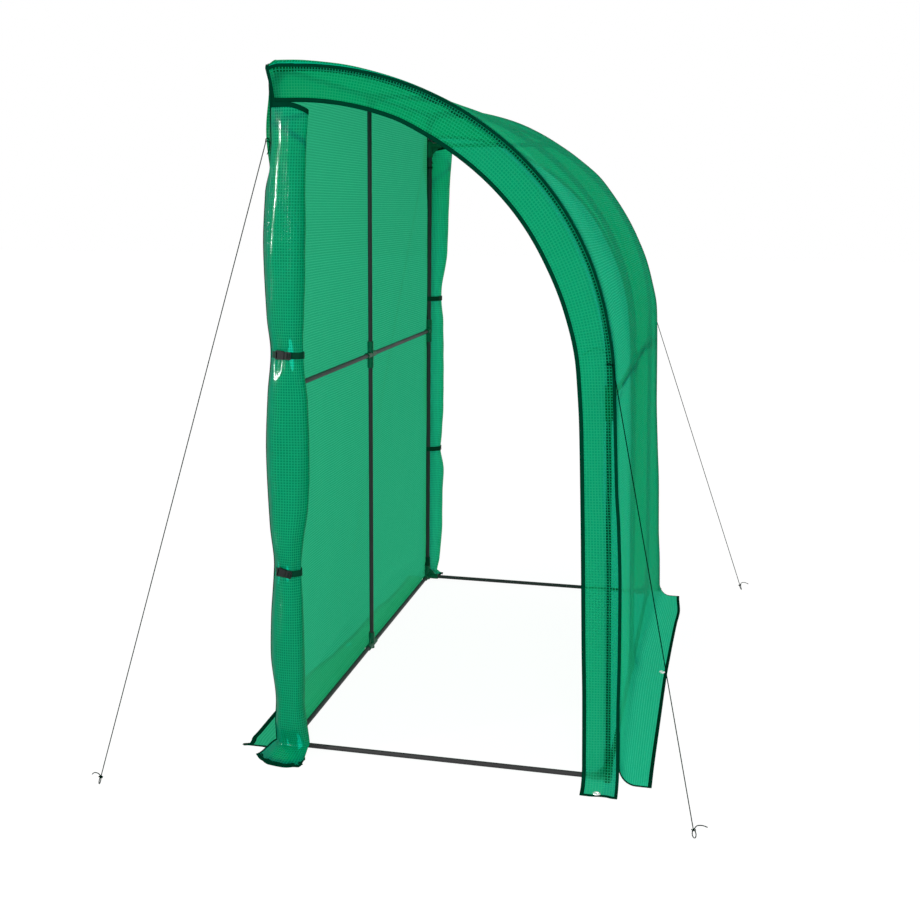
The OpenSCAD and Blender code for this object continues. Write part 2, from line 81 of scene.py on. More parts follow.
class Arch:
    """The arch tube's centre line: lead, crown arc, shoulder arc and leaning leg, by distance along it."""

    turn = math.pi / 2 - LEAN
    run = np.array([math.sin(CROWN_TURN), math.sin(turn) - math.sin(CROWN_TURN)])
    fall = np.array([1 - math.cos(CROWN_TURN), math.cos(CROWN_TURN) - math.cos(turn)])
    crown_r, shoulder_r = np.linalg.solve([run, fall], [leg_x(SPRING_Z) - LEAD, HEIGHT - SPRING_Z])
    to_crown = LEAD
    to_shoulder = to_crown + crown_r * CROWN_TURN
    to_leg = to_shoulder + shoulder_r * (turn - CROWN_TURN)
    to_ground = to_leg + SPRING_Z / math.cos(LEAN)

    @classmethod
    def place(cls, s, out=0.0):
        """x and z at distance s, moved out along the normal."""
        s, out = np.broadcast_arrays(np.asarray(s, float), np.asarray(out, float))
        a = np.clip((s - cls.to_crown) / cls.crown_r, 0, CROWN_TURN)
        a = a + np.clip((s - cls.to_shoulder) / cls.shoulder_r, 0, cls.turn - CROWN_TURN)
        crown = np.minimum(a, CROWN_TURN)
        x = LEAD + cls.crown_r * np.sin(crown) + cls.shoulder_r * (np.sin(a) - np.sin(crown))
        z = HEIGHT - cls.crown_r * (1 - np.cos(crown)) - cls.shoulder_r * (np.cos(crown) - np.cos(a))
        x = x + np.minimum(s - cls.to_crown, 0)
        down = np.maximum(s - cls.to_leg, 0)
        x = x + down * math.sin(LEAN) + out * np.sin(a)
        z = z - down * math.cos(LEAN) + out * np.cos(a)
        return x, z

    @classmethod
    def at_height(cls, z):
        """Distance along the arch to a point of the leg at height z."""
        return cls.to_ground - z / math.cos(LEAN)


# ---------------------------------------------------------------- curves and meshes


def through(keys, at):
    """Smooth curve through (place, value) pairs, without overshoot, at the places asked for."""
    x, y = np.array(keys, float).T
    slope = np.diff(y) / np.diff(x)
    tilt = np.zeros(len(x))
    same = slope[:-1] * slope[1:] > 0
    before, after = slope[:-1][same], slope[1:][same]
    tilt[1:-1][same] = 2 * before * after / (before + after)
    at = np.clip(np.asarray(at, float), x[0], x[-1])
    i = np.clip(np.searchsorted(x, at) - 1, 0, len(x) - 2)
    h = x[i + 1] - x[i]
    t = (at - x[i]) / h
    return (
        y[i] * (1 + 2 * t) * (1 - t) ** 2
        + y[i + 1] * t * t * (3 - 2 * t)
        + h * (tilt[i] * t * (1 - t) ** 2 - tilt[i + 1] * t * t * (1 - t))
    )


def ripple(u, v, wave, seed, count=9):
    """Smooth crumple of about unit height over u and v, with folds about one wave (u, v) apart."""
    random = np.random.default_rng(seed)
    total = 0
    for _ in range(count):
        turn, phase, size = random.uniform(-1, 1), random.uniform(0, 7), random.uniform(0.6, 1.6)
        way = math.sqrt(max(0.0, 1 - turn * turn))
        total = total + np.cos(size * math.tau * (turn * u / wave[0] + way * v / wave[1]) + phase)
    return total / math.sqrt(count)


def bump(at, centre, width):
    """1 at the centre, falling to little a width or two away."""
    return np.exp(-(((at - centre) / width) ** 2))


def smooth_step(low, high, at):
    """0 up to low, 1 from high on, and smooth between them."""
    t = np.clip((at - low) / (high - low), 0, 1)
    return t * t * (3 - 2 * t)


def mesh_object(name, points, faces, flat=None, smooth=True):
    """A mesh with its place in its points. flat holds each point's place on the flat cloth, in metres."""
    data = bpy.data.meshes.new(name)
    data.from_pydata(np.asarray(points, float).reshape(-1, 3).tolist(), [], faces)
    if flat is not None:
        layer = data.uv_layers.new(name="flat")
        corners = np.zeros(len(data.loops), int)
        data.loops.foreach_get("vertex_index", corners)
        layer.data.foreach_set("uv", np.asarray(flat, float).reshape(-1, 2)[corners].ravel())
    data.polygons.foreach_set("use_smooth", [smooth] * len(data.polygons))
    data.update()
    piece = bpy.data.objects.new(name, data)
    bpy.context.scene.collection.objects.link(piece)
    return piece


def grid_faces(rows, columns):
    """The faces between points that lie in rows and columns."""
    corners = [(0, 0), (0, 1), (1, 1), (1, 0)]
    return [[(i + down) * columns + j + over for down, over in corners]
            for i in range(rows - 1) for j in range(columns - 1)]


def flat_lengths(points, axis):
    """Distance along the cloth, from its first row or column, measured in its middle."""
    steps = np.linalg.norm(np.diff(points, axis=axis), axis=2)
    steps = np.take(steps, steps.shape[1 - axis] // 2, axis=1 - axis)
    return np.concatenate([[0], np.cumsum(steps)])


def cloth(name, points, material, turned=False):
    """A single sheet over a grid of points (rows, columns, 3), with its flat layout in metres."""
    rows, columns = points.shape[:2]
    flat = np.stack(np.meshgrid(flat_lengths(points, 0), flat_lengths(points, 1), indexing="ij"), 2)
    faces = grid_faces(rows, columns)
    if turned:
        faces = [f[::-1] for f in faces]
    piece = mesh_object(name, points, faces, flat)
    piece.data.materials.append(material)
    return piece


def unit(v):
    """Vectors of length 1 in the directions of v."""
    return v / np.maximum(np.linalg.norm(v, axis=-1, keepdims=True), 1e-9)


def lengths(path):
    """Distance along a path to each of its points."""
    return np.concatenate([[0], np.cumsum(np.linalg.norm(np.diff(path, axis=0), axis=1))])


def along_path(path):
    """Unit direction at each point of a path."""
    return unit(np.gradient(np.asarray(path, float), axis=0))


def fix_normals(piece):
    """Points the faces of a mesh outwards."""
    work = bmesh.new()
    work.from_mesh(piece.data)
    bmesh.ops.recalc_face_normals(work, faces=work.faces)
    work.to_mesh(piece.data)
    work.free()


# ---------------------------------------------------------------- nodes

SMOOTH = {"interpolation_type": "SMOOTHSTEP"}
COLOURS = {"data_type": "RGBA"}
NUMBERS = {"data_type": "FLOAT"}
VECTORS = {"data_type": "FLOAT_VECTOR"}
FLAT_PLACES = {"data_type": "FLOAT2", "domain": "CORNER"}


def add(tree, kind, settings=(), *values, **inputs):
    """Adds a node with its settings. Values fill its inputs in order, and an input can also be named in
    words or by its number. Each is a number, a colour, a socket, or a node whose first output it takes."""
    node = tree.nodes.new(kind if "Node" in kind else "ShaderNode" + kind)
    for key, value in dict(settings).items():
        setattr(node, key, value)
    inputs.update({f"i{n}": value for n, value in enumerate(values)})
    for key, value in inputs.items():
        socket = node.inputs[int(key[1:])] if key[1:].isdigit() else node.inputs[key.replace("_", " ")]
        if isinstance(value, bpy.types.Node):
            value = value.outputs[0]
        if isinstance(value, bpy.types.NodeSocket):
            tree.links.new(value, socket)
        else:
            socket.default_value = value
    return node


def path_tree(name, **inputs):
    """An empty tree that makes something along paths, and its inputs, which are named with their kinds."""
    tree = bpy.data.node_groups.new(name, "GeometryNodeTree")
    tree.interface.new_socket("Made", in_out="OUTPUT", socket_type="NodeSocketGeometry")
    for words, kind in {"Paths": "Geometry", "Material": "Material", **inputs}.items():
        tree.interface.new_socket(words.replace("_", " "), in_out="INPUT", socket_type="NodeSocket" + kind)
    return tree, add(tree, "NodeGroupInput").outputs


def end_tree(tree, made, material):
    """Makes a tree's result real, gives it its material and hands it out."""
    made = add(tree, "GeometryNodeRealizeInstances", Geometry=made)
    add(tree, "NodeGroupOutput", Made=add(tree, "GeometryNodeSetMaterial", Geometry=made, Material=material))
    return tree


def flat_band():
    """Nodes that lay a flat band along every path, by the side and face directions and the spread that the
    path's points carry. Its section is a ring of points that is pulled apart sideways."""
    tree, given = path_tree("flat_band", Half_thickness="Float", Ring_points="Int", Ring_size="Float",
                            Ring_turn="Rotation")
    here = add(tree, "GeometryNodeInputPosition")
    path = add(tree, "GeometryNodeMeshToCurve", Mesh=given["Paths"])
    path = add(tree, "GeometryNodeStoreNamedAttribute", VECTORS, Geometry=path, Name="centre", Value=here)
    length = add(tree, "GeometryNodeSplineParameter").outputs["Length"]
    path = add(tree, "GeometryNodeStoreNamedAttribute", NUMBERS, Geometry=path, Name="along", Value=length)
    ring = add(tree, "GeometryNodeCurvePrimitiveCircle", Resolution=given["Ring points"],
               Radius=given["Ring size"])
    ring = add(tree, "GeometryNodeTransform", Geometry=ring, Rotation=given["Ring turn"])
    ring = add(tree, "GeometryNodeStoreNamedAttribute", VECTORS, Geometry=ring, Name="ring", Value=here)
    band = add(tree, "GeometryNodeCurveToMesh", Curve=path, Profile_Curve=ring, Fill_Caps=True)
    centre, side, face, ring = (add(tree, "GeometryNodeInputNamedAttribute", VECTORS, Name=name)
                                for name in ("centre", "side", "face", "ring"))
    spread, along = (add(tree, "GeometryNodeInputNamedAttribute", NUMBERS, Name=name)
                     for name in ("spread", "along"))
    x, y, _ = add(tree, "SeparateXYZ", Vector=ring).outputs
    x_out = add(tree, "Math", {"operation": "MULTIPLY"}, x, given["Half thickness"])
    y_out = add(tree, "Math", {"operation": "MULTIPLY"}, y, given["Half thickness"])
    which_side = add(tree, "MapRange", {}, x, -0.001, 0.001, -1.0, 1.0)
    x_out = add(tree, "Math", {"operation": "MULTIPLY_ADD"}, which_side, spread, x_out)
    place = add(tree, "VectorMath", {"operation": "MULTIPLY_ADD"}, side, x_out, centre)
    place = add(tree, "VectorMath", {"operation": "MULTIPLY_ADD"}, face, y_out, place)
    band = add(tree, "GeometryNodeSetPosition", Geometry=band, Position=place)
    flat = add(tree, "CombineXYZ", {}, along, x_out)
    band = add(tree, "GeometryNodeStoreNamedAttribute", FLAT_PLACES, Geometry=band, Name="flat", Value=flat)
    return end_tree(tree, band, given["Material"])


def laid_rope():
    """Nodes that lay three strands, twisted round each other, along every path, with closed ends."""
    tree, given = path_tree("laid_rope", Rope_radius="Float", Lay_length="Float", Step="Float")
    # a strand's middle is half the rope's radius out, and it presses a little into its neighbours
    off_middle = add(tree, "Math", {"operation": "MULTIPLY"}, given["Rope radius"], 0.5)
    strand_r = add(tree, "Math", {"operation": "MULTIPLY"}, given["Rope radius"], 0.52)
    middles = add(tree, "GeometryNodeCurvePrimitiveCircle", Resolution=3, Radius=off_middle)
    strand = add(tree, "GeometryNodeCurvePrimitiveCircle", Resolution=6, Radius=strand_r)
    section = add(tree, "GeometryNodeInstanceOnPoints", Points=middles, Instance=strand)
    section = add(tree, "GeometryNodeRealizeInstances", Geometry=section)
    path = add(tree, "GeometryNodeMeshToCurve", Mesh=given["Paths"])
    path = add(tree, "GeometryNodeResampleCurve", {"mode": "LENGTH"}, Curve=path, Length=given["Step"])
    along = add(tree, "GeometryNodeSplineParameter").outputs["Length"]
    turns = add(tree, "Math", {"operation": "DIVIDE"}, along, given["Lay length"])
    twist = add(tree, "Math", {"operation": "MULTIPLY"}, turns, math.tau)
    path = add(tree, "GeometryNodeSetCurveTilt", Curve=path, Tilt=twist)
    rope = add(tree, "GeometryNodeCurveToMesh", Curve=path, Profile_Curve=section, Fill_Caps=True)
    return end_tree(tree, rope, given["Material"])


def pressed_ring():
    """Nodes that turn a profile, radius in x and height in z, into a ring at every loose point."""
    tree, given = path_tree("pressed_ring", Steps="Int")
    here = add(tree, "GeometryNodeInputPosition")
    loose = add(tree, "GeometryNodeInputNamedAttribute", NUMBERS, Name="spot")
    spots = add(tree, "GeometryNodeMeshToPoints", Mesh=given["Paths"], Selection=loose)
    edge = add(tree, "GeometryNodeMeshToCurve", Mesh=given["Paths"])
    edge = add(tree, "GeometryNodeStoreNamedAttribute", VECTORS, Geometry=edge, Name="profile", Value=here)
    circle = add(tree, "GeometryNodeCurvePrimitiveCircle", Resolution=given["Steps"], Radius=1.0)
    circle = add(tree, "GeometryNodeStoreNamedAttribute", VECTORS, Geometry=circle, Name="out", Value=here)
    ring = add(tree, "GeometryNodeCurveToMesh", Curve=circle, Profile_Curve=edge)
    out, profile = (add(tree, "GeometryNodeInputNamedAttribute", VECTORS, Name=name)
                    for name in ("out", "profile"))
    radius, _, height = add(tree, "SeparateXYZ", Vector=profile).outputs
    upright = add(tree, "CombineXYZ", Z=height)
    place = add(tree, "VectorMath", {"operation": "MULTIPLY_ADD"}, out, radius, upright)
    ring = add(tree, "GeometryNodeSetPosition", Geometry=ring, Position=place)
    rings = add(tree, "GeometryNodeInstanceOnPoints", Points=spots, Instance=ring)
    return end_tree(tree, rings, given["Material"])


def made_along(name, tree, paths, carried=None, closed=False, smooth=True, **sizes):
    """A plain mesh that a tree makes along paths. carried holds what the paths' points carry, by name."""
    data = bpy.data.meshes.new(name)
    edges, start = [], 0
    for path in paths:
        links = len(path) if closed else len(path) - 1
        edges += [(start + n, start + (n + 1) % len(path)) for n in range(links)]
        start += len(path)
    data.from_pydata(np.concatenate(paths).tolist(), edges, [])
    for key, values in (carried or {}).items():
        values = np.concatenate(values)
        kind, field = ("FLOAT", "value") if values.ndim == 1 else ("FLOAT_VECTOR", "vector")
        data.attributes.new(key, kind, "POINT").data.foreach_set(field, values.ravel())
    piece = bpy.data.objects.new(name, data)
    bpy.context.scene.collection.objects.link(piece)
    work = piece.modifiers.new(tree.name, "NODES")
    work.node_group = tree
    for item in tree.interface.items_tree:
        if item.name.replace(" ", "_") in sizes:
            work[item.identifier] = sizes[item.name.replace(" ", "_")]
    made = bpy.data.meshes.new_from_object(piece.evaluated_get(bpy.context.evaluated_depsgraph_get()))
    piece.modifiers.clear()
    piece.data = made
    for key in ("centre", "along", "ring", "side", "face", "spread", "profile", "out", "spot"):
        if key in made.attributes:
            made.attributes.remove(made.attributes[key])
    made.polygons.foreach_set("use_smooth", [smooth] * len(made.polygons))
    fix_normals(piece)
    return piece


def band(name, paths, material, thick, closed=False):
    """Flat bands, one for each (path, side, face, width) in paths. An open one has rounded edges, and one
    that closes on itself has square ones."""
    carried = {"side": [side for _, side, _, _ in paths], "face": [face for _, _, face, _ in paths],
               "spread": [np.full(len(path), (width - thick) / 2) for path, _, _, width in paths]}
    ring = {"Ring_points": 12, "Ring_size": 1.0}
    if closed:
        ring = {"Ring_points": 4, "Ring_size": math.sqrt(2), "Ring_turn": (0, 0, math.pi / 4)}
    return made_along(name, FLAT_BAND, [path for path, _, _, _ in paths], carried, closed, not closed,
                      Half_thickness=thick / 2, Material=material, **ring)


FLAT_BAND, LAID_ROPE, PRESSED_RING = flat_band(), laid_rope(), pressed_ring()

# ---------------------------------------------------------------- materials

FILM_HUNG = "#10b47a"  # light that comes through a rolled door's film beside its seam
THREAD_GLOW = "#49d7a0"  # light that comes through the milky threads
FILM_CLEAR = "#26e7be"  # tint of what shows straight through the windows
TURN = 0.30  # length of film in one turn of a rolled door


def linear(code):
    """sRGB hex to linear RGBA."""
    parts = [int(code[i:i + 2], 16) / 255 for i in (1, 3, 5)]
    return tuple(c / 12.92 if c <= 0.04045 else ((c + 0.055) / 1.055) ** 2.4 for c in parts) + (1.0,)


def per(size):
    """The scale of a pattern whose features are about this many millimetres across."""
    return 1000 / size


def new_material(name):
    """An empty material and its tree of nodes."""
    mat = bpy.data.materials.new(name)
    mat.use_nodes = True
    mat.node_tree.nodes.clear()
    return mat, mat.node_tree


def reinforced_film(name, window_open, thread_open, deep, pale, glow, coat, inner_painted_light="", touching=1.0):
    """Polyethylene film laminated over a grid of tape yarns, 8.4 mm apart: hazy green windows between
    milky threads, with a thin plastic gloss. What touches the film shows dark through its windows, and
    what is further off shows faintly. The open shares say how much comes straight through, and touching
    says how much more does so near the first edge, where the film lies on a tube (20 mm on the arch and
    40 mm down the leg). Past the front of its outer turn a rolled door's film takes another, paler colour:
    painted light that stands in for the light coming through the roll's inner turns."""
    pitch, yarn = 0.0084, 0.0027
    mat, tree = new_material(name)
    place = add(tree, "UVMap", {"uv_map": "flat"})
    split = add(tree, "SeparateXYZ", Vector=place)
    along, across_it = split.outputs[:2]
    lines = []
    for way in (along, across_it):
        cell = add(tree, "Math", {"operation": "DIVIDE"}, way, pitch)
        lines.append(add(tree, "Math", {"operation": "PINGPONG"}, cell, 0.5))
    nearest = add(tree, "Math", {"operation": "MINIMUM"}, *lines)
    window = add(tree, "MapRange", SMOOTH, nearest, yarn / pitch / 2 - 0.05, yarn / pitch / 2 + 0.05)
    cloud = add(tree, "TexNoise", Vector=place, Scale=per(111), Detail=3.0)
    colour = add(tree, "Mix", COLOURS, cloud, i6=linear(deep), i7=linear(pale)).outputs[2]
    crinkle = add(tree, "TexNoise", Vector=place, Scale=per(18.2), Detail=2.0)
    creased = add(tree, "Math", {"operation": "MULTIPLY"}, crinkle, 2.2)
    height = add(tree, "Math", {"operation": "SUBTRACT"}, creased, window)
    relief = add(tree, "Bump", Strength=0.5, Distance=0.0006, Height=height)
    open_share = add(tree, "MapRange", Value=window, To_Min=thread_open, To_Max=window_open)
    if touching != 1.0:
        width = add(tree, "MapRange", {}, along, 1.35, 1.7, 0.021, 0.040)
        past = add(tree, "Math", {"operation": "SUBTRACT"}, across_it, width)
        near = add(tree, "MapRange", SMOOTH, past, 0.0, 0.008, touching, 1.0)
        open_share = add(tree, "Math", {"operation": "MULTIPLY"}, open_share, near)
    lit = add(tree, "Mix", COLOURS, window, i6=linear(THREAD_GLOW), i7=linear(glow)).outputs[2]
    if inner_painted_light:
        # painted light: past the outer turn's front the film is paler, standing in for light through the
        # inner turns
        inner = add(tree, "MapRange", SMOOTH, along, TURN / 2 + 0.01, TURN / 2 + 0.04)
        colour = add(tree, "Mix", COLOURS, inner, i6=colour, i7=linear(inner_painted_light)).outputs[2]
        shut = add(tree, "MapRange", Value=inner, To_Min=1.0, To_Max=0.85)
        hung = add(tree, "MapRange", SMOOTH, along, 0.02, 0.045)
        held = add(tree, "MapRange", Value=hung, To_Min=0.3, To_Max=1.0)
        for less in (shut, held):
            open_share = add(tree, "Math", {"operation": "MULTIPLY"}, open_share, less)
        lit = add(tree, "Mix", COLOURS, hung, i6=linear(FILM_HUNG), i7=lit).outputs[2]
    skin = add(tree, "BsdfPrincipled", Base_Color=colour, Roughness=0.4, IOR=1.5, Normal=relief,
               Specular_IOR_Level=0.0, Coat_Weight=coat, Coat_Roughness=0.13, Coat_IOR=1.5,
               Coat_Normal=relief)
    through_it = add(tree, "BsdfTranslucent", Color=lit, Normal=relief)
    share = add(tree, "MapRange", Value=window, To_Min=0.4, To_Max=0.5 if inner_painted_light else 0.9)
    body = add(tree, "MixShader", {}, share, skin, through_it)
    clear = add(tree, "BsdfTransparent", Color=linear(FILM_CLEAR))
    add(tree, "OutputMaterial", Surface=add(tree, "MixShader", {}, open_share, body, clear))
    return mat


def woven_tape():
    """Dark green polypropylene tape, woven and heat-cut: fine crosswise ribs that keep it dull. They are
    drawn 1.3 mm apart, coarser than woven, so that they show."""
    mat, tree = new_material("woven_polypropylene_tape")
    place = add(tree, "UVMap", {"uv_map": "flat"})
    along = add(tree, "SeparateXYZ", Vector=place)
    row = add(tree, "Math", {"operation": "DIVIDE"}, along, 0.0013)
    ribs = add(tree, "Math", {"operation": "PINGPONG"}, row, 0.5)
    patch = add(tree, "TexNoise", Vector=place, Scale=per(25), Detail=2.0)
    tone = add(tree, "Mix", COLOURS, patch, i6=linear("#00281a"), i7=linear("#003422")).outputs[2]
    relief = add(tree, "Bump", Strength=0.5, Distance=0.0004, Height=ribs)
    skin = add(tree, "BsdfPrincipled", Base_Color=tone, Roughness=0.66, Normal=relief, Specular_IOR_Level=0.0)
    add(tree, "OutputMaterial", Surface=skin)
    return mat


def ribbed_webbing():
    """Dark green polypropylene webbing: lengthwise cords 2.5 mm apart and a crosswise weave of 1.6 mm, a
    little shiny."""
    mat, tree = new_material("polypropylene_webbing")
    split = add(tree, "SeparateXYZ", Vector=add(tree, "UVMap", {"uv_map": "flat"}))
    ridges = []
    for way, pitch in zip(split.outputs, (0.0016, 0.0025)):
        cell = add(tree, "Math", {"operation": "DIVIDE"}, way, pitch)
        ridges.append(add(tree, "Math", {"operation": "PINGPONG"}, cell, 0.5))
    weave = add(tree, "Math", {"operation": "ADD"}, *ridges)
    # painted shade: the weave is darker in its hollows and paler on its ridges, following its relief
    tone = add(tree, "Mix", COLOURS, weave, i6=linear("#00281a"), i7=linear("#003824")).outputs[2]
    relief = add(tree, "Bump", Strength=0.6, Distance=0.0006, Height=weave)
    skin = add(tree, "BsdfPrincipled", Base_Color=tone, Roughness=0.5, Normal=relief, Specular_IOR_Level=0.05)
    add(tree, "OutputMaterial", Surface=skin)
    return mat


def powder_coat():
    """Thin steel tube with dark grey powder coat: satin, with a faint orange-peel skin and some dust."""
    mat, tree = new_material("powder_coated_steel_tube")
    place = add(tree, "TexCoord").outputs["Object"]
    peel = add(tree, "TexNoise", Vector=place, Scale=per(1.1), Detail=2.0)
    dust = add(tree, "TexNoise", Vector=place, Scale=per(71), Detail=4.0)
    tone = add(tree, "Mix", COLOURS, dust, i6=linear("#292829"), i7=linear("#343334")).outputs[2]
    rough = add(tree, "MapRange", Value=dust, To_Min=0.4, To_Max=0.55)
    relief = add(tree, "Bump", Strength=0.25, Distance=0.0002, Height=peel)
    skin = add(tree, "BsdfPrincipled", Base_Color=tone, Roughness=rough, Normal=relief,
               Specular_IOR_Level=0.12)
    add(tree, "OutputMaterial", Surface=skin)
    return mat


def moulded_socket():
    """Injection-moulded dark green polypropylene: fine spark-eroded grain, satin, paler on scuffed spots."""
    mat, tree = new_material("moulded_polypropylene_socket")
    place = add(tree, "TexCoord").outputs["Object"]
    grain = add(tree, "TexNoise", Vector=place, Scale=per(0.67), Detail=2.0)
    scuff = add(tree, "TexNoise", Vector=place, Scale=per(16.7), Detail=5.0, Roughness=0.7)
    worn = add(tree, "MapRange", Value=scuff, From_Min=0.55, From_Max=0.8)
    tone = add(tree, "Mix", COLOURS, worn, i6=linear("#004e34"), i7=linear("#05664a")).outputs[2]
    relief = add(tree, "Bump", Strength=0.3, Distance=0.0002, Height=grain)
    skin = add(tree, "BsdfPrincipled", Base_Color=tone, Roughness=0.45, Normal=relief,
               Specular_IOR_Level=0.15)
    add(tree, "OutputMaterial", Surface=skin)
    return mat


def moulded_buckle():
    """Injection-moulded black acetal, satin with a fine grain."""
    mat, tree = new_material("moulded_acetal_buckle")
    place = add(tree, "TexCoord").outputs["Object"]
    grain = add(tree, "TexNoise", Vector=place, Scale=per(0.56), Detail=2.0)
    tone = add(tree, "Mix", COLOURS, grain, i6=linear("#020605"), i7=linear("#0a1210")).outputs[2]
    relief = add(tree, "Bump", Strength=0.3, Distance=0.0002, Height=grain)
    skin = add(tree, "BsdfPrincipled", Base_Color=tone, Roughness=0.33, Normal=relief,
               Specular_IOR_Level=0.25)
    add(tree, "OutputMaterial", Surface=skin)
    return mat


def pressed_aluminium():
    """Pressed aluminium eyelet: bright, with faint turned marks from the die."""
    mat, tree = new_material("pressed_aluminium_eyelet")
    place = add(tree, "TexCoord").outputs["Object"]
    marks = add(tree, "TexNoise", Vector=place, Scale=per(1.4), Detail=2.0)
    rough = add(tree, "MapRange", Value=marks, To_Min=0.35, To_Max=0.5)
    skin = add(tree, "BsdfPrincipled", Base_Color=linear("#f2f2f2"), Metallic=0.8, Roughness=rough)
    add(tree, "OutputMaterial", Surface=skin)
    return mat


def twisted_cord():
    """Dark green polyester cord: the strands are modelled, and the yarns are a fine fluffy relief."""
    mat, tree = new_material("twisted_polyester_cord")
    place = add(tree, "TexCoord").outputs["Object"]
    fluff = add(tree, "TexNoise", Vector=place, Scale=per(0.83), Detail=3.0)
    tone = add(tree, "Mix", COLOURS, fluff, i6=linear("#00140c"), i7=linear("#042216")).outputs[2]
    relief = add(tree, "Bump", Strength=0.4, Distance=0.0003, Height=fluff)
    skin = add(tree, "BsdfPrincipled", Base_Color=tone, Roughness=0.7, Normal=relief, Specular_IOR_Level=0.0)
    add(tree, "OutputMaterial", Surface=skin)
    return mat


# The sheets are all one film. Their colours are painted light and shade, set sheet by sheet: lighter or
# darker to stand in for how much light reaches each sheet.
roof_film = reinforced_film("reinforced_polyethylene_film", 0.42, 0.10, "#04aa82", "#06b289", "#15be84", 0.04)
border_film = reinforced_film("edge_polyethylene_film", 0.32, 0.09, "#08885e", "#0a9066", "#20bc86", 0.08,
                              touching=2.3)
wall_film = reinforced_film("taut_polyethylene_film", 0.30, 0.10, "#0e8056", "#12885e", "#20a268", 0.015)
rolled_film = {
    -1: reinforced_film("rolled_polyethylene_film", 0.44, 0.12, "#048e6e", "#069876", "#16b482", 0.22,
                        inner_painted_light="#0cd8b0"),
    # painted light: the far door's roll takes much paler colours than the near one's, standing in for light
    # on its side that faces the shaded inside
    1: reinforced_film("slack_polyethylene_film", 0.45, 0.12, "#2cdcb0", "#34e6ba", "#38c898", 0.2,
                       inner_painted_light="#34e6c4")}
tape = woven_tape()
webbing = ribbed_webbing()
cord = twisted_cord()

# ---------------------------------------------------------------- camera, lights and floor

WORLD_LEVEL = 0.8  # strength at which the surroundings light the object
BEHIND_FILM = 0.42  # how bright they look through a layer of film
FLOOR_SPAN = 40.0
FLOOR_Z = -0.0006  # a little under the film that lies on the ground


def camera():
    """A camera at eye height, off the left end, that looks a little down and towards the front."""
    place = (1.291, -4.5645, 1.7222)
    heading, pitch, roll = 0.234, -0.2275, 0.0051
    data = bpy.data.cameras.new("camera")
    data.sensor_width = 36.0
    data.lens = 48.84
    data.shift_x = 0.0416
    data.shift_y = 0.0390
    data.clip_start = 0.05
    body = bpy.data.objects.new("camera", data)
    body.matrix_world = (Matrix.Translation(place) @ Matrix.Rotation(heading, 4, "Z")
                         @ Matrix.Rotation(math.pi / 2 + pitch, 4, "X") @ Matrix.Rotation(roll, 4, "Z"))
    bpy.context.scene.collection.objects.link(body)
    bpy.context.scene.camera = body


def soft_lamp(name, place, target, size, power, gloss_only=False):
    """A round lamp that lights surfaces but isn't mirrored in them, or that is only mirrored in them."""
    data = bpy.data.lights.new(name, "AREA")
    data.shape = "DISK"
    data.size = size
    data.energy = power
    lamp = bpy.data.objects.new(name, data)
    lamp.location = place
    lamp.visible_glossy = gloss_only
    lamp.visible_diffuse = not gloss_only
    lamp.rotation_mode = "QUATERNION"
    lamp.rotation_quaternion = (Vector(target) - Vector(place)).to_track_quat("-Z", "Y")
    bpy.context.scene.collection.objects.link(lamp)


def seen(tree):
    """How bright the surroundings look: white to the camera, in a reflection and through glass. They light
    the object, and show through its film, at plainer levels."""
    path = add(tree, "LightPath")
    bare = add(tree, "Math", {"operation": "LESS_THAN"}, path.outputs["Transparent Depth"], 0.5)
    level = add(tree, "MapRange", Value=bare, To_Min=BEHIND_FILM, To_Max=1.0)
    shown = add(tree, "Math", {"operation": "MULTIPLY"}, path.outputs["Is Camera Ray"], level)
    for ray in ("Is Glossy Ray", "Is Transmission Ray"):
        shown = add(tree, "Math", {"operation": "MAXIMUM"}, shown, path.outputs[ray])
    return path, shown


def surroundings():
    """A white world and three soft lamps."""
    world = bpy.data.worlds.new("studio")
    bpy.context.scene.world = world
    world.use_nodes = True
    tree = world.node_tree
    tree.nodes.clear()
    path, shown = seen(tree)
    light = add(tree, "Math", {"operation": "MULTIPLY"}, path.outputs["Is Diffuse Ray"], WORLD_LEVEL)
    level = add(tree, "Math", {"operation": "MAXIMUM"}, shown, light)
    add(tree, "OutputWorld", Surface=add(tree, "Background", Color=linear("#ffffff"), Strength=level))
    high_left, left_end = (-3.4, -3.7, 1.9), (0.0, -1.0, 1.2)
    soft_lamp("key", high_left, left_end, 0.3, 60)
    soft_lamp("gloss", high_left, left_end, 0.7, 620, gloss_only=True)
    soft_lamp("front", (1.5, -5.2, 2.1), (0.3, 0.3, 1.0), 1.6, 150)


def floor():
    """White paper: mostly a plain glow that keeps it white, and a share that takes the object's shadow."""
    mat, tree = new_material("white_floor")
    paper = add(tree, "BsdfDiffuse", Color=linear("#cbcbcb"))
    _, shown = seen(tree)
    level = add(tree, "Math", {"operation": "MULTIPLY"}, shown, 1.1)
    lit = add(tree, "Emission", Color=linear("#ffffff"), Strength=level)
    in_view = add(tree, "Math", {"operation": "GREATER_THAN"}, shown, 0.01)
    share = add(tree, "Math", {"operation": "MULTIPLY"}, in_view, 0.86)
    add(tree, "OutputMaterial", Surface=add(tree, "MixShader", {}, share, paper, lit))
    corners = [(-1, -1), (1, -1), (1, 1), (-1, 1)]
    piece = mesh_object("floor", [(x * FLOOR_SPAN, y * FLOOR_SPAN, FLOOR_Z) for x, y in corners],
                        [[0, 1, 2, 3]], smooth=False)
    piece.data.materials.append(mat)


camera()
surroundings()
floor()
bpy.context.scene.view_settings.view_transform = "Standard"

# ---------------------------------------------------------------- metal and moulded parts


def give(material, *words):
    """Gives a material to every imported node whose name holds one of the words."""
    for name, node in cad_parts.items():
        if any(w in name for w in words):
            node.data.materials.clear()
            node.data.materials.append(material)


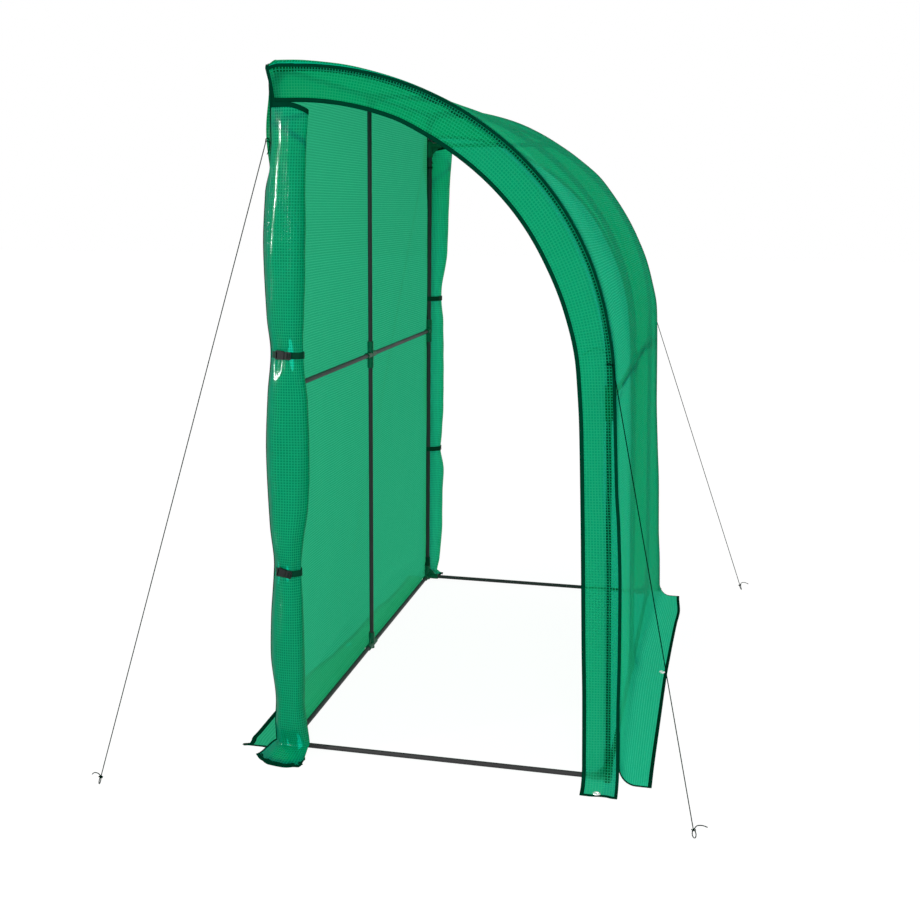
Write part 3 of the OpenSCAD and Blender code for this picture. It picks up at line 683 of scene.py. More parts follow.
give(powder_coat(), "post", "arch", "front_leg", "rail", "sill", "right_tie")
give(moulded_socket(), "connector", "tie_tee", "tie_clip")
give(moulded_buckle(), "buckle")

# ---------------------------------------------------------------- cover

# How far an end's seam lies out from the arch's centre line, in mm, by distance along the arch in metres.
SEAM = {-1: [(0.0, -1), (0.01, 6), (0.02, 11), (0.04, 10.5), (0.2, 10.5), (0.3, 11), (0.4, 12),
             (0.5, 12.5), (1.2, 12.5), (1.3, 13), (1.4, 16), (1.5, 20), (1.7, 25), (1.8, 28), (1.9, 34),
             (2.1, 39), (2.3, 38), (2.5, 35), (2.72, 35)],
        1: [(0.0, -1), (0.01, 6), (0.02, 12), (0.1, 18), (0.25, 24), (0.37, 23.5), (0.5, 19.5), (0.6, 16.5),
            (0.7, 16), (0.8, 18.5), (0.9, 13.5), (1.0, 12), (1.1, 12.5), (1.2, 16.5), (1.3, 20), (1.4, 28),
            (1.6, 31), (1.8, 31.5), (2.0, 37.5), (2.2, 45.5), (2.4, 47.5), (2.55, 53.5), (2.72, 55)]}
# How far the borders' inner edge lies out.
INNER = [(-0.02, -94), (0.38, -95), (0.5, -101), (0.62, -105), (0.85, -110), (1.05, -112), (1.24, -106),
         (1.42, -94), (1.6, -84), (1.93, -80), (2.28, -78), (2.45, -76), (2.72, -76)]
# How far the roof film lies out over the end arches.
OVER = {-1: [(-0.02, 22), (0.0, 23), (0.1, 19.5), (0.2, 18), (0.3, 15), (0.4, 14), (0.5, 13.5), (1.2, 13.5),
             (1.3, 15), (1.4, 18), (1.5, 23), (1.6, 25), (1.8, 29), (1.9, 34), (2.1, 38), (2.3, 38),
             (2.72, 37)],
        1: [(-0.02, 22), (0.0, 23), (0.1, 21), (0.25, 25), (0.37, 24), (0.5, 20), (0.6, 17), (0.7, 16.5),
            (0.8, 19), (0.9, 14), (1.0, 12.5), (1.1, 13), (1.2, 17), (1.3, 20.5), (1.4, 29), (1.6, 31.5),
            (1.8, 32), (2.0, 38), (2.2, 46), (2.4, 48), (2.55, 54), (2.72, 56)]}
# How far forward the front skirt's edge lies on the ground, in mm, by y in metres.
SKIRT_EDGE = [(-1.0, 1163), (-0.84, 1162), (-0.4, 1163), (-0.08, 1164), (0.185, 1168), (0.6, 1178),
              (0.76, 1184), (1.0, 1173)]
# How much of its full width the back skirt reaches.
BACK_REACH = [(-1.0, 0.86), (-0.93, 0.96), (-0.35, 1.02), (-0.1, 0.82), (0.1, 0.76), (0.48, 0.75),
              (0.65, 0.62), (1, 0.6)]
SAG = [(0, 0.0), (0.1, 2), (0.4, 9), (0.9, 12), (1.4, 9), (2.0, 5), (2.6, 0)]  # between the hoops, as SEAM
CRUMPLE, PLEATS = 0.0022, 0.0016  # height of the roof's wide crumple, and of the folds that run down it
LIFTS = {"roof": 0.0055, "wall": 0.0035, "border": 0.0045}  # how far sockets lift the film off the tubes
WALL_FOLDS = [(0.066, 0.005, 0.008), (0.034, 0.0035, 0.006)]  # folds along the wall's foot: z, depth, width
ON_RAIL = 0.0096  # height of the cover over the middle of the back top rail
OVER_SOCKET = OVER[1][1][1] / 1000  # and over the sockets at its ends
BEND = 0.06  # radius of the front and end skirts' bends on to the ground
BACK_BEND = 0.02  # radius of the back skirt's bend
FRONT_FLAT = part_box("front_skirt")[1].x - Arch.place(Arch.at_height(BEND), 0.033)[0] - BEND
BACK_FLAT = -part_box("back_skirt")[0].x - COVER - BACK_BEND
END_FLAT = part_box("right_border")[1].y - END_Y - BEND
ON_GROUND = 0.0012  # height of the film that lies on the ground
FOOT = Arch.at_height(BEND + ON_GROUND)
CORNER = -0.029  # how far back the cover's top corners are drawn
BORDER_W = 0.105  # width of the film that frames an end opening
FOOT_TAPE_Z = 0.17  # height below which the roof's left end has its tape
ENDS = {-1: "left", 1: "right"}


def bend_out(past, flat, bend=BEND):
    """How far out and how high a skirt is, a distance past the start of its bend."""
    turn = np.clip(past / bend, 0, math.pi / 2)
    out = bend * (1 - np.cos(turn)) + np.clip(past - bend * math.pi / 2, 0, flat)
    return out, bend * (1 - np.sin(turn)) + ON_GROUND


def past_foot(flat, count, bend=BEND):
    """Distances past the start of a skirt's bend: round the bend, then on along the ground."""
    round_end = bend * math.pi / 2
    on_ground = np.linspace(round_end, round_end + flat, count)
    return np.concatenate([np.linspace(0, round_end, 10)[1:], on_ground[1:]])


def across(count, end):
    """Places across the cover: even between the end hoops, and close together at its two ends."""
    strip = HALF + np.linspace(0, 1, 9)[1:] * (end - HALF)
    return np.concatenate([-strip[::-1], np.linspace(-HALF, HALF, count), strip])


def ridge(y):
    """Height of the cover over the back top rail: on the rail, but lifted by the connectors."""
    lifted = np.clip(1.5 * sum(bump(y, at, 0.10) for at in (-HALF, 0, HALF)), 0, 1)
    return ON_RAIL + (OVER_SOCKET - ON_RAIL) * np.where(np.abs(y) > HALF, 1, lifted)


def declare(piece, flat, rests_on, *nodes):
    """Hides the nodes that a stretched sheet of the cover stands for, and hangs the sheet from the root body.
    Its flat size and what holds it are not used.
    """
    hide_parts(*nodes)
    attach(piece, "root")


def roof_points():
    """One film from the back top edge over the arches and down the front, then out on to the ground."""
    past = past_foot(FRONT_FLAT, 14)
    end = END_Y - 0.0006
    s = np.concatenate([np.linspace(0, FOOT, 240), FOOT + past])
    ss, yy = np.meshgrid(s, across(131, end), indexing="ij")
    # it lies on the middle hoop, and stands further out over the end hoops
    out = np.where(yy < 0, through(OVER[-1], ss), through(OVER[1], ss)) / 1000
    on_hoop = TUBE_R + NEAR_TUBE
    out = on_hoop + (out - on_hoop) * np.clip(np.abs(yy) / HALF, 0, 1) ** 1.4
    # between the hoops the film sags under the crown and slackens down the front
    span = np.sin(np.abs(yy) / HALF * math.pi) ** 2 * (np.abs(yy) < HALF)
    out = out - span * through(SAG, ss) / 1000
    loose = smooth_step(0, 0.1, ss) * (1 - smooth_step(FOOT - 0.25, FOOT, ss))
    out = out + loose * span ** 0.5 * ripple(ss, yy, (0.5, 0.35), 4) * CRUMPLE
    out = out + loose * PLEATS * ripple(ss, yy, (1.3, 0.1), 8) * smooth_step(1.2, 1.9, ss)
    # it lies on the middle rail too, in spite of the sag
    on_rail = np.clip(1.6 * bump(ss, Arch.at_height(MID_HEIGHT), 0.08), 0, 1)
    out = out + np.maximum(on_hoop - out, 0) * on_rail
    # it rides over the middle connectors, which are thicker than the tubes
    over = sum(bump(ss, at, 0.08) for at in (Arch.at_height(MID_HEIGHT), Arch.at_height(FOOT_HEIGHT)))
    out = out + LIFTS["roof"] * np.clip(2.2 * bump(yy, 0, 0.08) * over, 0, 1)
    out = out + (ridge(yy) - out) * (1 - smooth_step(0, 0.16, ss))
    # past the last hoop it rounds down to its seam on the end face
    round_off = np.clip((np.abs(yy) - HALF) / (end - HALF), 0, 1)
    seam = np.where(yy < 0, through(SEAM[-1], ss), through(SEAM[1], ss)) / 1000
    round_off = 1 - np.sqrt(1 - round_off ** 2)
    out = out + (seam - out) * round_off
    x, z = Arch.place(np.minimum(ss, FOOT), out)
    beyond, height = bend_out(np.maximum(ss - FOOT, 0), FRONT_FLAT)
    low = ss > FOOT
    wave = 0.0005 * (1 + np.cos(9 * yy + 1.3)) * smooth_step(FOOT + 0.03, FOOT + 0.1, ss)
    beyond = beyond * (through(SKIRT_EDGE, yy) / 1000 - x) / beyond.max()
    # the top corner is drawn back to the end of the upright seam
    x = x + CORNER * round_off * (1 - smooth_step(0, 0.035, ss))
    return np.stack([x + beyond, yy, np.where(low, height + wave, z)], 2)


def wall_points():
    """The back wall's film: round the top rail, down behind the posts, then out on to the ground."""
    turn = np.linspace(0, math.pi / 2, 8)[:-1]
    z = np.linspace(HEIGHT, BACK_BEND + ON_GROUND, 170)
    past = past_foot(BACK_FLAT, 14, BACK_BEND)
    zz, yy = np.meshgrid(z, across(121, END_Y), indexing="ij")
    bay = np.abs(yy) / HALF
    span = np.sin(np.clip(bay, 0, 1) * math.pi) ** 2
    loose = smooth_step(HEIGHT, HEIGHT - 0.15, zz) * smooth_step(0.03, 0.2, zz)
    back = TUBE_R + NEAR_TUBE + LIFTS["wall"] * at_sockets(zz, yy) + loose * span * 0.006
    back = back + loose * (0.3 + span) * 0.0017 * ripple(zz, yy, (0.45, 0.3), 21)
    # one long fold stands over the bottom rail, smaller ones under it, and fine ones run down the posts
    back = back + loose * 0.005 * (0.2 + span) * bump(zz, 0.17 + 0.035 * np.cos(3 * yy), 0.022)
    back = back + sum(deep * bump(zz, at, wide) for at, deep, wide in WALL_FOLDS)
    back = back + loose * 0.0014 * ripple(zz, yy, (1.5, 0.07), 22) * bump(bay, 1, 0.2)
    # the corner stands off its post near the top, where the stay comes out
    corner = bump(np.abs(yy), END_Y - 0.006, 0.012)
    back = back + corner * (0.021 * bump(zz, 1.93, 0.12) + 0.004)
    # the last strip is pulled out to the seam that the door hangs from
    pull = smooth_step(HALF + 0.006, END_Y, np.abs(yy))
    for side in ENDS:
        seam_x, seam_y = ROLLS[side].seam(zz)
        here = (np.sign(yy) == side) * pull
        back = back + (-seam_x - back) * here
        yy = yy + (seam_y - yy) * here
    wall = np.stack([-back, yy, zz], 2)
    top = np.stack(np.broadcast_arrays(
        wall[None, 0, :, 0] * np.sin(turn)[:, None], wall[None, 0, :, 1],
        HEIGHT + ridge(wall[None, 0, :, 1]) * np.cos(turn)[:, None]), 2)
    end = pull[None, 0] * np.cos(turn)[:, None] ** 2
    top[..., 2] += (-0.001 - ridge(top[..., 1]) * np.cos(turn)[:, None]) * end
    top[..., 0] += (wall[None, 0, :, 0] - top[..., 0]) * end
    out, height = bend_out(past, BACK_FLAT, BACK_BEND)
    foot = wall[-1:] + np.zeros((len(past), 1, 1))
    # the skirt isn't pulled out evenly, so its outer edge wanders
    reach = through(BACK_REACH, foot[..., 1])
    foot[..., 0] -= out[:, None] * (1 + (reach - 1) * smooth_step(0.03, 0.1, past)[:, None])
    foot[..., 2] = height[:, None] + 0.0012 * (1 + np.cos(8 * foot[..., 1])) * (past > 0.05)[:, None]
    return np.concatenate([top, wall, foot])


def at_sockets(z, y):
    """1 where the film passes a moulded socket on a back post or rail, 0 clear of it."""
    across = sum(bump(y, at, 0.055) for at in (-HALF, 0, HALF))
    up = sum(bump(z, at, 0.06) for at in (HEIGHT, MID_HEIGHT, FOOT_HEIGHT))
    return np.clip(1.6 * across * up, 0, 1)


def border_points(side):
    """The strip of film that frames an end opening, from its seam in to its bound inner edge."""
    past = past_foot(END_FLAT, 20)
    s = np.concatenate([np.linspace(0, 0.05, 12)[:-1], np.linspace(0.05, FOOT, 250), FOOT + past])
    ss, tt = np.meshgrid(s, np.linspace(0, 1, 27), indexing="ij")
    out = (through(SEAM[side], ss) * (1 - tt) + through(INNER, ss) * tt) / 1000
    # its back end follows the upright seam
    x, z = Arch.place(ss, out)
    x = x + ROLLS[side].seam(HEIGHT + out)[0] * (1 - smooth_step(0, 0.035, ss))
    beyond, height = bend_out(np.maximum(ss - FOOT, 0), END_FLAT)
    low = ss > FOOT
    # it lies on the tube, steps over the connectors and hangs a little loose inside
    over = sum(np.exp(-((ss - at) ** 2 + (out * 0.7) ** 2) / 0.07 ** 2)
               for at in (0, Arch.at_height(MID_HEIGHT), Arch.at_height(FOOT_HEIGHT) - 0.05))
    lie = TUBE_R + NEAR_TUBE + LIFTS["border"] * np.clip(1.5 * over, 0, 1)
    free = smooth_step(0.012, 0.05, -out) * smooth_step(0.015, 0.06, ss)
    lie = lie + free * (0.002 + 0.0028 * ripple(ss, tt * 0.1, (0.42, 0.5), 31 + side))
    edge = smooth_step(0.003, 0.02, out)
    lie = lie + edge * (END_Y - HALF - 0.001 - lie)
    y = side * (HALF + lie + beyond)
    return np.stack([x, y, np.where(low, height + 0.001 * low, z)], 2)


def edge_path(points, edge, depth, width=TAPE_W):
    """A tape folded over one edge of a grid of cloth: its centre line, and its directions in and up. The
    way in is taken to the cloth's row or column this deep."""
    grid = {"first": points, "last": points[::-1], "left": points.transpose(1, 0, 2),
            "right": points.transpose(1, 0, 2)[::-1]}[edge]
    inward = unit(grid[depth] - grid[0])
    path = grid[0] + inward * (width / 2 - 0.0012)
    face = unit(np.cross(along_path(path), inward))
    inward = np.cross(face, along_path(path))
    return path, inward, face, width


def tape_piece(name, paths, *nodes):
    piece = band(name, paths, tape, TAPE_T)
    if nodes:
        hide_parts(*nodes)
    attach(piece, "root")


def covers():
    """The roof, the back wall and the two borders, each a sheet with its edges bound in tape."""
    points = roof_points()
    wide = 2 * END_Y
    piece = cloth("roof_film", points, roof_film, turned=True)
    length = float(flat_lengths(points, 0)[-1])
    declare(piece, (wide, length), ["left_arch", "middle_arch", "right_arch"], "roof_cover", "front_skirt")
    foot = int(np.argmin(np.abs(points[:, points.shape[1] // 2, 2] - FOOT_TAPE_Z)))
    tape_piece("roof_tape", [edge_path(points, "last", 3, 0.012), edge_path(points[foot:], "left", 8, 0.008),
                             edge_path(points, "right", 8, 0.006)])
    points = wall_points()
    piece = cloth("back_wall_film", points, wall_film)
    length = float(flat_lengths(points, 0)[-1])
    declare(piece, (wide, length), ["back_top_rail", "middle_back_post"], "back_wall_cover", "back_skirt")
    tape_piece("back_skirt_tape", [edge_path(points, "last", 3, 0.016),
                                   edge_path(points, "left", 3, 0.009),
                                   edge_path(points, "right", 3, 0.009)])
    for side, end in ENDS.items():
        points = border_points(side)
        piece = cloth(end + "_border_film", points, border_film, turned=side < 0)
        length = float(flat_lengths(points, 0)[-1])
        declare(piece, (BORDER_W, length), [end + "_arch"], end + "_border")
        tape_piece(end + "_border_tape", [
            edge_path(points, "left", 3, SEAM_W), edge_path(points, "right", 3, INNER_W),
            edge_path(points, "first", 3, SEAM_W), edge_path(points, "last", 3)], end + "_binding")


# ---------------------------------------------------------------- rolled doors

# The left and right edges of the two rolled doors, in mm, by height in metres.
DOOR_EDGES = {
    -1: ([(0.03, -26), (0.1, -28), (0.17, -24), (0.33, -38), (0.45, -34), (0.58, -23), (0.63, -20),
          (0.75, -31), (0.98, -38), (1.16, -29), (1.295, -16), (1.4, -26), (1.6, -32), (1.76, -22),
          (1.85, -12), (1.91, -6), (2.02, -4)],
         [(0.03, 78), (0.1, 74), (0.19, 68), (0.33, 72), (0.52, 70), (0.61, 64), (0.7, 72), (0.84, 92),
          (1.0, 97), (1.15, 94), (1.295, 79), (1.4, 86), (1.6, 95), (1.85, 102), (2.02, 112)]),
    1: ([(0.03, -30), (0.2, -34), (0.4, -36), (0.63, -22), (0.85, -36), (1.1, -34), (1.32, -18), (1.5, -30),
         (1.75, -26), (2.02, -10)],
        [(0.03, 36), (0.09, 46), (0.28, 60), (0.38, 59), (0.52, 64), (0.63, 50), (0.66, 52), (0.85, 60),
         (1.04, 58), (1.22, 53), (1.32, 44), (1.36, 46), (1.53, 72), (1.84, 82), (2.02, 92)])}
WAIST = 0.034  # height of the gather above the flap on the ground
LAYER = 0.0028  # room that one turn of film takes
DOOR_WIDTH, DOOR_HEIGHT = 0.90, 2.10
DOOR_BACK = END_Y + 0.0016  # where the roll lies against the border
STRAP_W, STRAP_T = 0.020, 0.0016
FLAP = 0.10  # length of the door's flap on the ground
# The flap's hem on the ground, by the share of a turn: x and distance out from the middle, in mm.
HEM = [(0, -87, 1062), (0.08, -60, 1096), (0.2, -25, 1124), (0.3, 13, 1136), (0.47, 78, 1122),
       (0.53, 83, 1096), (0.66, 66, 1040), (0.8, 0, 985), (0.92, -61, 1000), (1, -87, 1062)]
HEM_MID = (0.015, 1.05)  # middle of the hem, x and y in metres
CORNER_SEAM = [(1.7, -12), (1.99, -12), (2.043, -15), (2.09, -24), (2.11, -29)]  # mm, by height in metres


class Roll:
    """The shape of a rolled door, side -1 at the left end and 1 at the right end."""

    angle = np.linspace(0, math.tau, 721)

    def __init__(self, side):
        self.side = side
        self.turned = 0.4 * side
        low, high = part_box(ENDS[side] + "_door_straps")
        self.straps = (low.z + STRAP_W / 2, high.z - STRAP_W / 2)
        low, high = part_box(ENDS[side] + "_door_buckles")
        self.gathered = (min(abs(low.y), abs(high.y)) - STRAP_T - DOOR_BACK) / 2
        ring = np.stack(self.oval(self.angle, 0.060, 0.032), 1)
        self.share = lengths(ring) / lengths(ring)[-1]

    @staticmethod
    def oval(angle, a, b):
        power = 0.86
        c, s = np.cos(angle), np.sin(angle)
        return a * np.sign(c) * np.abs(c) ** power, b * np.sign(s) * np.abs(s) ** power

    def round(self, a):
        """The angle at which film a metres from the seam lies."""
        return math.pi + np.interp(a / TURN % 1, self.share, self.angle)

    def room(self, z):
        """The roll's middle and half width in x, its half depth, and how tightly it is held."""
        left, right = (through(keys, z) / 1000 for keys in DOOR_EDGES[self.side])
        left = left + 0.004 * (self.side < 0)
        held = sum(bump(z, at, 0.05) for at in self.straps)
        gather = bump(z, WAIST, 0.05)
        deep = 0.0335 - (0.0335 - self.gathered) * np.minimum(held, 1) - 0.011 * gather
        return (left + right) / 2, (right - left) / 2, deep, held + gather

    def outside(self, angle, z, turns=0.0, out=0.0):
        """x and y of the roll's skin at an angle, turns of film in from the outside."""
        mid, wide, deep, held = self.room(z)
        inset = turns * LAYER - out
        lean = turns * 0.7 + self.turned
        folds = 0.0024 * held * np.sin(7 * angle + 3 * lean + 6 * z)
        folds = folds + 0.0022 * np.cos(2 * angle + 5 * z + lean) + 0.0012 * np.cos(5 * angle - 9 * z)
        folds = folds + 0.0010 * ripple(angle * 0.05, z, (0.09, 0.16), 3 + self.side)
        x, y = self.oval(angle, wide - inset + folds * 0.5, deep - inset + folds)
        return mid + x, self.side * np.maximum(DOOR_BACK + deep - y, DOOR_BACK + 0.4 * turns * LAYER)

    def seam(self, z):
        """x and y of the seam that the door hangs from: down the corner, then along the roll's back."""
        mid, wide, _, _ = self.room(z)
        low = smooth_step(1.90, 1.76, z)
        x = through(CORNER_SEAM, z) / 1000
        if self.side < 0:
            x = x + (mid - wide - 0.0185 - x) * low
        return x, self.side * (END_Y + 0.004 * low)

    def film(self, a, z):
        x, y = self.outside(self.round(a), z, a / TURN)
        seam_x, seam_y = self.seam(z)
        hung = 1 - smooth_step(0.0, 0.018, a)
        return np.stack(np.broadcast_arrays(x + (seam_x - x) * hung, y + (seam_y - y) * hung, z), -1)

    def flap(self, a, f):
        """The flap below the gather: f runs from 0 at the gather to 1 at the hem on the ground."""
        start = self.film(a, WAIST + 0 * a)
        angle, turns = self.round(a), a / TURN
        reach = (1 - 0.15 * turns) * (1 if self.side < 0 else 0.55)
        share = turns % 1
        hem_x = HEM_MID[0] + (through([(t, x) for t, x, _ in HEM], share) / 1000 - HEM_MID[0]) * reach
        hem_y = HEM_MID[1] + (through([(t, y) for t, _, y in HEM], share) / 1000 - HEM_MID[1]) * reach
        hem_y = self.side * np.maximum(hem_y, DOOR_BACK + 0.001)
        spread = f ** 0.8
        low = 0.0022 + turns * 0.0014 + 0.002 * f * np.cos(4 * angle + self.turned) ** 2
        x = start[..., 0] + (hem_x - start[..., 0]) * spread
        y = start[..., 1] + (hem_y - start[..., 1]) * spread
        return np.stack([x, y, low + (WAIST - low) * (1 - smooth_step(0, 1, f ** 0.75))], -1)


def door_film(side):
    """The door's film, cut to the opening's curve, rolled up from its free edge and hung from its seam."""
    roll = ROLLS[side]
    along = np.linspace(0, Arch.to_ground, 400)
    a = np.linspace(0, DOOR_WIDTH, 171)
    top = np.interp(a, *Arch.place(along, through(INNER, along) / 1000)) - 0.007
    top = top - 0.014 * smooth_step(0.08, 0.16, a) * (1 - 0.5 * smooth_step(0.2, 0.35, a))
    aa, tt = np.meshgrid(a, np.linspace(0, 1, 230), indexing="ij")
    z = top[:, None] * (1 - tt) + WAIST * tt
    aa_low, ff = np.meshgrid(a, np.linspace(0, 1, 22)[1:], indexing="ij")
    points = np.concatenate([roll.film(aa, z), roll.flap(aa_low, ff)], 1)
    down = np.concatenate([-z, FLAP * ff - WAIST], 1)
    flat = np.stack(np.broadcast_arrays(a[:, None], down), 2)
    faces = grid_faces(*points.shape[:2])
    if side > 0:
        faces = [f[::-1] for f in faces]
    piece = mesh_object(ENDS[side] + "_door_film", points, faces, flat)
    piece.data.materials.append(rolled_film[side])
    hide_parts(ENDS[side] + "_door_roll")
    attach(piece, "root")
    tape_piece(ENDS[side] + "_door_tape", [
        edge_path(points, "left", 3, 0.014), edge_path(points, "right", 3),
        edge_path(points, "first", 3, 0.009)])


# Where the eyelets' middles are, and the radius and height of points on a flange, from its bore outwards.
EYELETS = [(1.14495, 0), (-0.0941, 0), (1.00545, -1.0746), (1.00545, 1.0746)]
EYELET = [(0.0052, 0.0002), (0.0052, 0.0052), (0.0064, 0.0062), (0.0090, 0.0060), (0.0114, 0.0046),
          (0.0116, 0.0012)]
COLLAR_Z = middle("leg_straps").z
COLLAR_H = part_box("leg_straps")[1].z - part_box("leg_straps")[0].z
COLLAR_T = 0.0018


def hull(points):
    """The points of a flat set that a tight band round it touches, in order."""
    points = sorted(map(tuple, points))
    chains = []
    for run in (points, points[::-1]):
        chain = []
        for p in run:
            while len(chain) > 1 and ((chain[-1][0] - chain[-2][0]) * (p[1] - chain[-2][1])
                                      - (chain[-1][1] - chain[-2][1]) * (p[0] - chain[-2][0])) <= 0:
                chain.pop()
            chain.append(p)
        chains += chain[:-1]
    return np.array(chains)


def door_straps(side):
    """Webbing closed round the rolled door and the back post behind it."""
    roll = ROLLS[side]
    angle = np.linspace(0, math.tau, 145)[:-1]
    rings = []
    for z in roll.straps:
        skin = np.stack(roll.outside(angle, z, 0.0, STRAP_T / 2 + 0.0002), 1)
        post = (TUBE_R + STRAP_T / 2 + NEAR_TUBE) * np.stack([np.cos(angle), np.sin(angle)], 1)
        loop = hull(np.concatenate([skin, post + [0, side * HALF]]))
        loop = np.concatenate([loop, loop[:1]])
        steps = lengths(loop)
        at = np.linspace(0, steps[-1], 121)[:-1]
        path = np.stack([np.interp(at, steps, loop[:, 0]), np.interp(at, steps, loop[:, 1]),
                         z + 0.0015 * np.cos(at / steps[-1] * math.tau + 0.5)], 1)
        ahead = unit(np.roll(path, -1, 0) - np.roll(path, 1, 0))
        up = np.broadcast_to([0.0, 0.0, 1.0], path.shape)
        rings.append((path, up, np.cross(ahead, up), STRAP_W))
    piece = band(ENDS[side] + "_door_strap_loops", rings, webbing, STRAP_T, closed=True)
    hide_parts(ENDS[side] + "_door_straps")
    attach(piece, "root")


def eyelet_rings():
    """Pressed eyelets, a domed flange round each peg hole, a little over the film."""
    profile = np.array([(radius, 0, height) for radius, height in EYELET])
    spots = [np.array([(x, y, 0)]) for x, y in EYELETS]
    carried = {"spot": [np.zeros(len(profile)), np.ones(len(spots))]}
    piece = made_along("eyelet_rings", PRESSED_RING, [profile] + spots, carried, Steps=32,
                       Material=pressed_aluminium())
    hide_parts("eyelets")
    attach(piece, "root")


def leg_collars():
    """Hook-and-loop collars that tie the cover to the four corner tubes just over their sockets."""
    rings = []
    for side in ENDS:
        for x, lean in ((0.0, 0.0), (None, LEAN)):
            x = leg_x(COLLAR_Z) if x is None else x
            angle = np.linspace(0, math.tau, 41)[:-1]
            r = TUBE_R + 0.0016 + 0.0010 * np.clip(np.cos(angle - side * 1.9), 0, 1) ** 4
            out = np.stack([np.cos(angle), np.sin(angle), 0 * angle], 1)
            up = np.broadcast_to([-math.sin(lean), 0, math.cos(lean)], out.shape)
            rings.append((np.array([x, side * HALF, COLLAR_Z]) + r[:, None] * out, up, out, COLLAR_H))
    piece = band("leg_collars", rings, webbing, COLLAR_T, closed=True)
    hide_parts("leg_straps")
    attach(piece, "root")


# ---------------------------------------------------------------- ropes

ROPE_R = 0.00175
ROPE_LAY = 0.012  # length in which a strand goes once round
ROPE_STEP = 0.0028  # distance between the rings of points along it
LOOP_R = 0.0105  # from a peg's middle to the outside of the loop round it
HITCH_R = 0.0118  # from a tube's middle to the outside of the hitch round it
LOOP = (0.0110, 0.0070)  # half the length and half the width of that loop, to the rope's middle
# The loose ends of the knots at the peg and at the tube, as steps from the knot.
STAY_TAILS = {"back": [(-0.008, 0.0, 0.010), (-0.018, 0.0, 0.012), (-0.030, 0.002, 0.004)],
              "front": [(0.010, 0.006, 0.012), (0.022, 0.014, 0.010), (0.038, 0.022, 0.002)]}
STAY_ENDS = {"back": [(0.004, 0.004, 0.02), (0.012, 0.008, 0.03), (0.02, 0.012, 0.016)],
             "front": [(-0.02, 0.016, 0.03), (-0.05, 0.02, 0.045), (-0.085, 0.02, 0.025)]}
# The back stay's end where it hooks down outside the cover: x, share of the rope's way in y, and z.
STAY_HOOK = [(0.002, 0.02, 0.008), (0.009, 0.03, 0.009), (0.014, 0.03, -0.004), (0.012, 0.03, -0.022),
             (0.005, 0.03, -0.036)]


def overhand(centre, ahead, size=0.0042, count=60):
    """The path of a pulled-tight overhand knot round a line through centre."""
    ahead = unit(np.asarray(ahead, float))
    side = unit(np.cross(ahead, [0.2, 0.3, 0.93]))
    up = np.cross(ahead, side)
    t = np.linspace(0.1, math.tau * 1.0 - 0.1, count) + math.pi / 2
    x = (np.sin(t) + 2 * np.sin(2 * t)) * size * 0.42
    y = (np.cos(t) - 2 * np.cos(2 * t)) * size * 0.42
    z = -np.sin(3 * t) * size * 0.5
    return centre + x[:, None] * side + y[:, None] * up + z[:, None] * ahead


def curve_through(points, count=80):
    """A smooth path through points."""
    points = np.asarray(points, float)
    steps = lengths(points) / lengths(points)[-1]
    return np.stack([through(list(zip(steps, points[:, n])), np.linspace(0, 1, count)) for n in range(3)], 1)


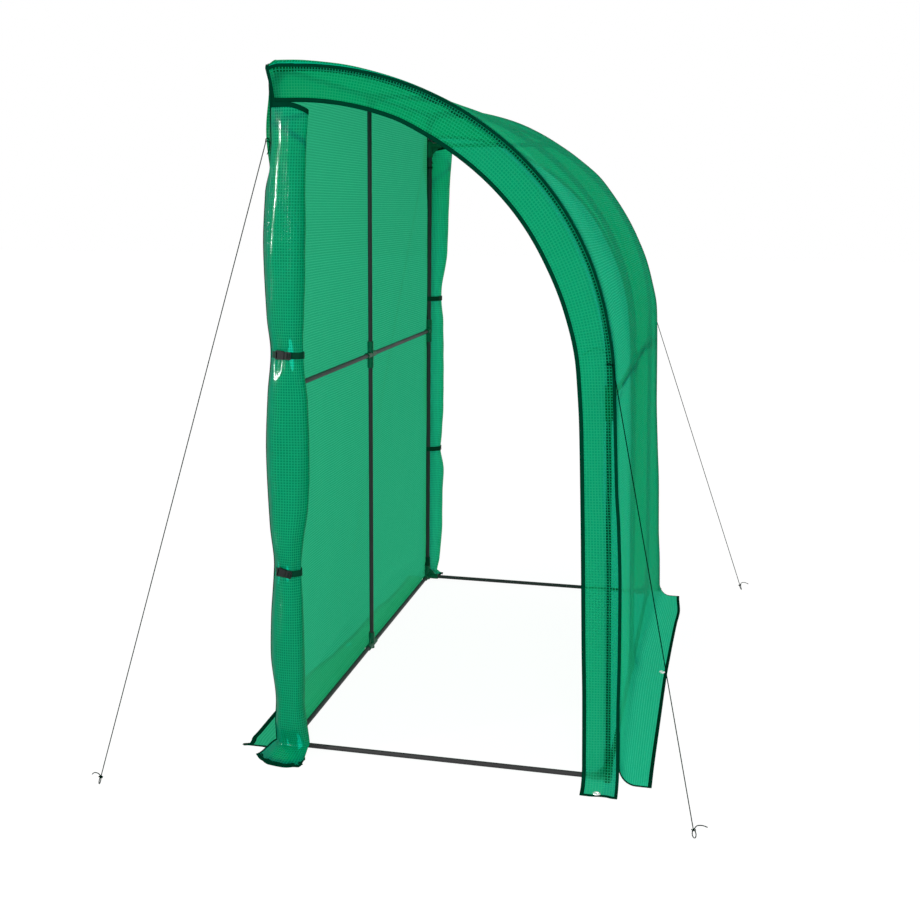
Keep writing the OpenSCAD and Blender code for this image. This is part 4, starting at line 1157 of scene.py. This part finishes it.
def stay(name, tie, lean, peg, tail, inner_tail, way_out=None):
    """A guy rope: hitched round its tube, knotted, taut to a knotted loop that a peg holds. A way out is
    the place where it comes through the cover, with an end that turns down."""
    tie, peg = np.array(tie, float), np.array(peg, float)
    level = unit((peg - tie) * [1, 1, 0])
    way = unit(peg - (tie if way_out is None else way_out))
    axis = np.array([-math.sin(lean), 0, math.cos(lean)])
    out = unit(level - axis * np.dot(level, axis))
    over = np.cross(axis, out)
    ring = TUBE_R + 0.0003 + ROPE_R
    turn = np.linspace(-math.pi * 2, math.pi * 2, 120)
    hitch = tie + ring * (np.cos(turn)[:, None] * out + np.sin(turn)[:, None] * over) \
        + axis * (turn / math.tau * 0.0042)[:, None]
    knot = tie + out * (ring + 0.006)
    foot_knot = peg - way * (0.007 + 2.5 * ROPE_R)
    loop_turn = np.linspace(0, math.tau, 50)
    loop_side = unit(np.cross(way, [0, 0, 1.0]))
    loop = peg - LOOP[0] * np.cos(loop_turn)[:, None] * way + LOOP[1] * np.sin(loop_turn)[:, None] * loop_side
    run = np.array([knot, foot_knot])
    hooks = []
    if way_out is not None:
        way_out = np.array(way_out, float)
        hook = [way_out + way * 0.004] + [way_out + (x, way[1] * y, z) for x, y, z in STAY_HOOK]
        hooks.append(curve_through(hook))
        inside = [knot, (knot + way_out) / 2 + [0, 0, 0.004], way_out + [0.003, 0, 0.003], way_out]
        run = np.concatenate([curve_through(inside + [way_out + way * 0.012], 30), [foot_knot]])
    paths = [hitch, overhand(knot, way), run, overhand(foot_knot, way, 0.005), loop,
             curve_through(foot_knot + np.array([(0, 0, 0)] + tail)),
             curve_through(knot + np.array([(0, 0, 0)] + inner_tail))] + hooks
    piece = made_along(name + "_rope", LAID_ROPE, paths, Rope_radius=ROPE_R, Lay_length=ROPE_LAY,
                       Step=ROPE_STEP, Material=cord)
    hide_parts(name)
    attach(piece, "root")


def stays():
    """The four stays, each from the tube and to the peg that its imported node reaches."""
    for side, end in ENDS.items():
        for place in ("back", "front"):
            name = f"{end}_{place}_stay"
            low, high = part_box(name)
            peg_y = side * (max(abs(low.y), abs(high.y)) - LOOP_R)
            if place == "back":
                peg_x, tie_x, lean = low.x + LOOP_R, high.x - HITCH_R, 0.0
                way_out = (-0.033, side * (HALF + 0.014), high.z + 0.012)
            else:
                peg_x, tie_x, lean, way_out = high.x - LOOP_R, low.x + HITCH_R, -LEAN, None
            tie = (tie_x, side * HALF, high.z - 0.002)
            stay(name, tie, lean, (peg_x, peg_y, LOOP_R), STAY_TAILS[place], STAY_ENDS[place], way_out)


ROLLS = {side: Roll(side) for side in ENDS}
covers()
for end_side in ENDS:
    door_film(end_side)
    door_straps(end_side)
leg_collars()
eyelet_rings()
stays()
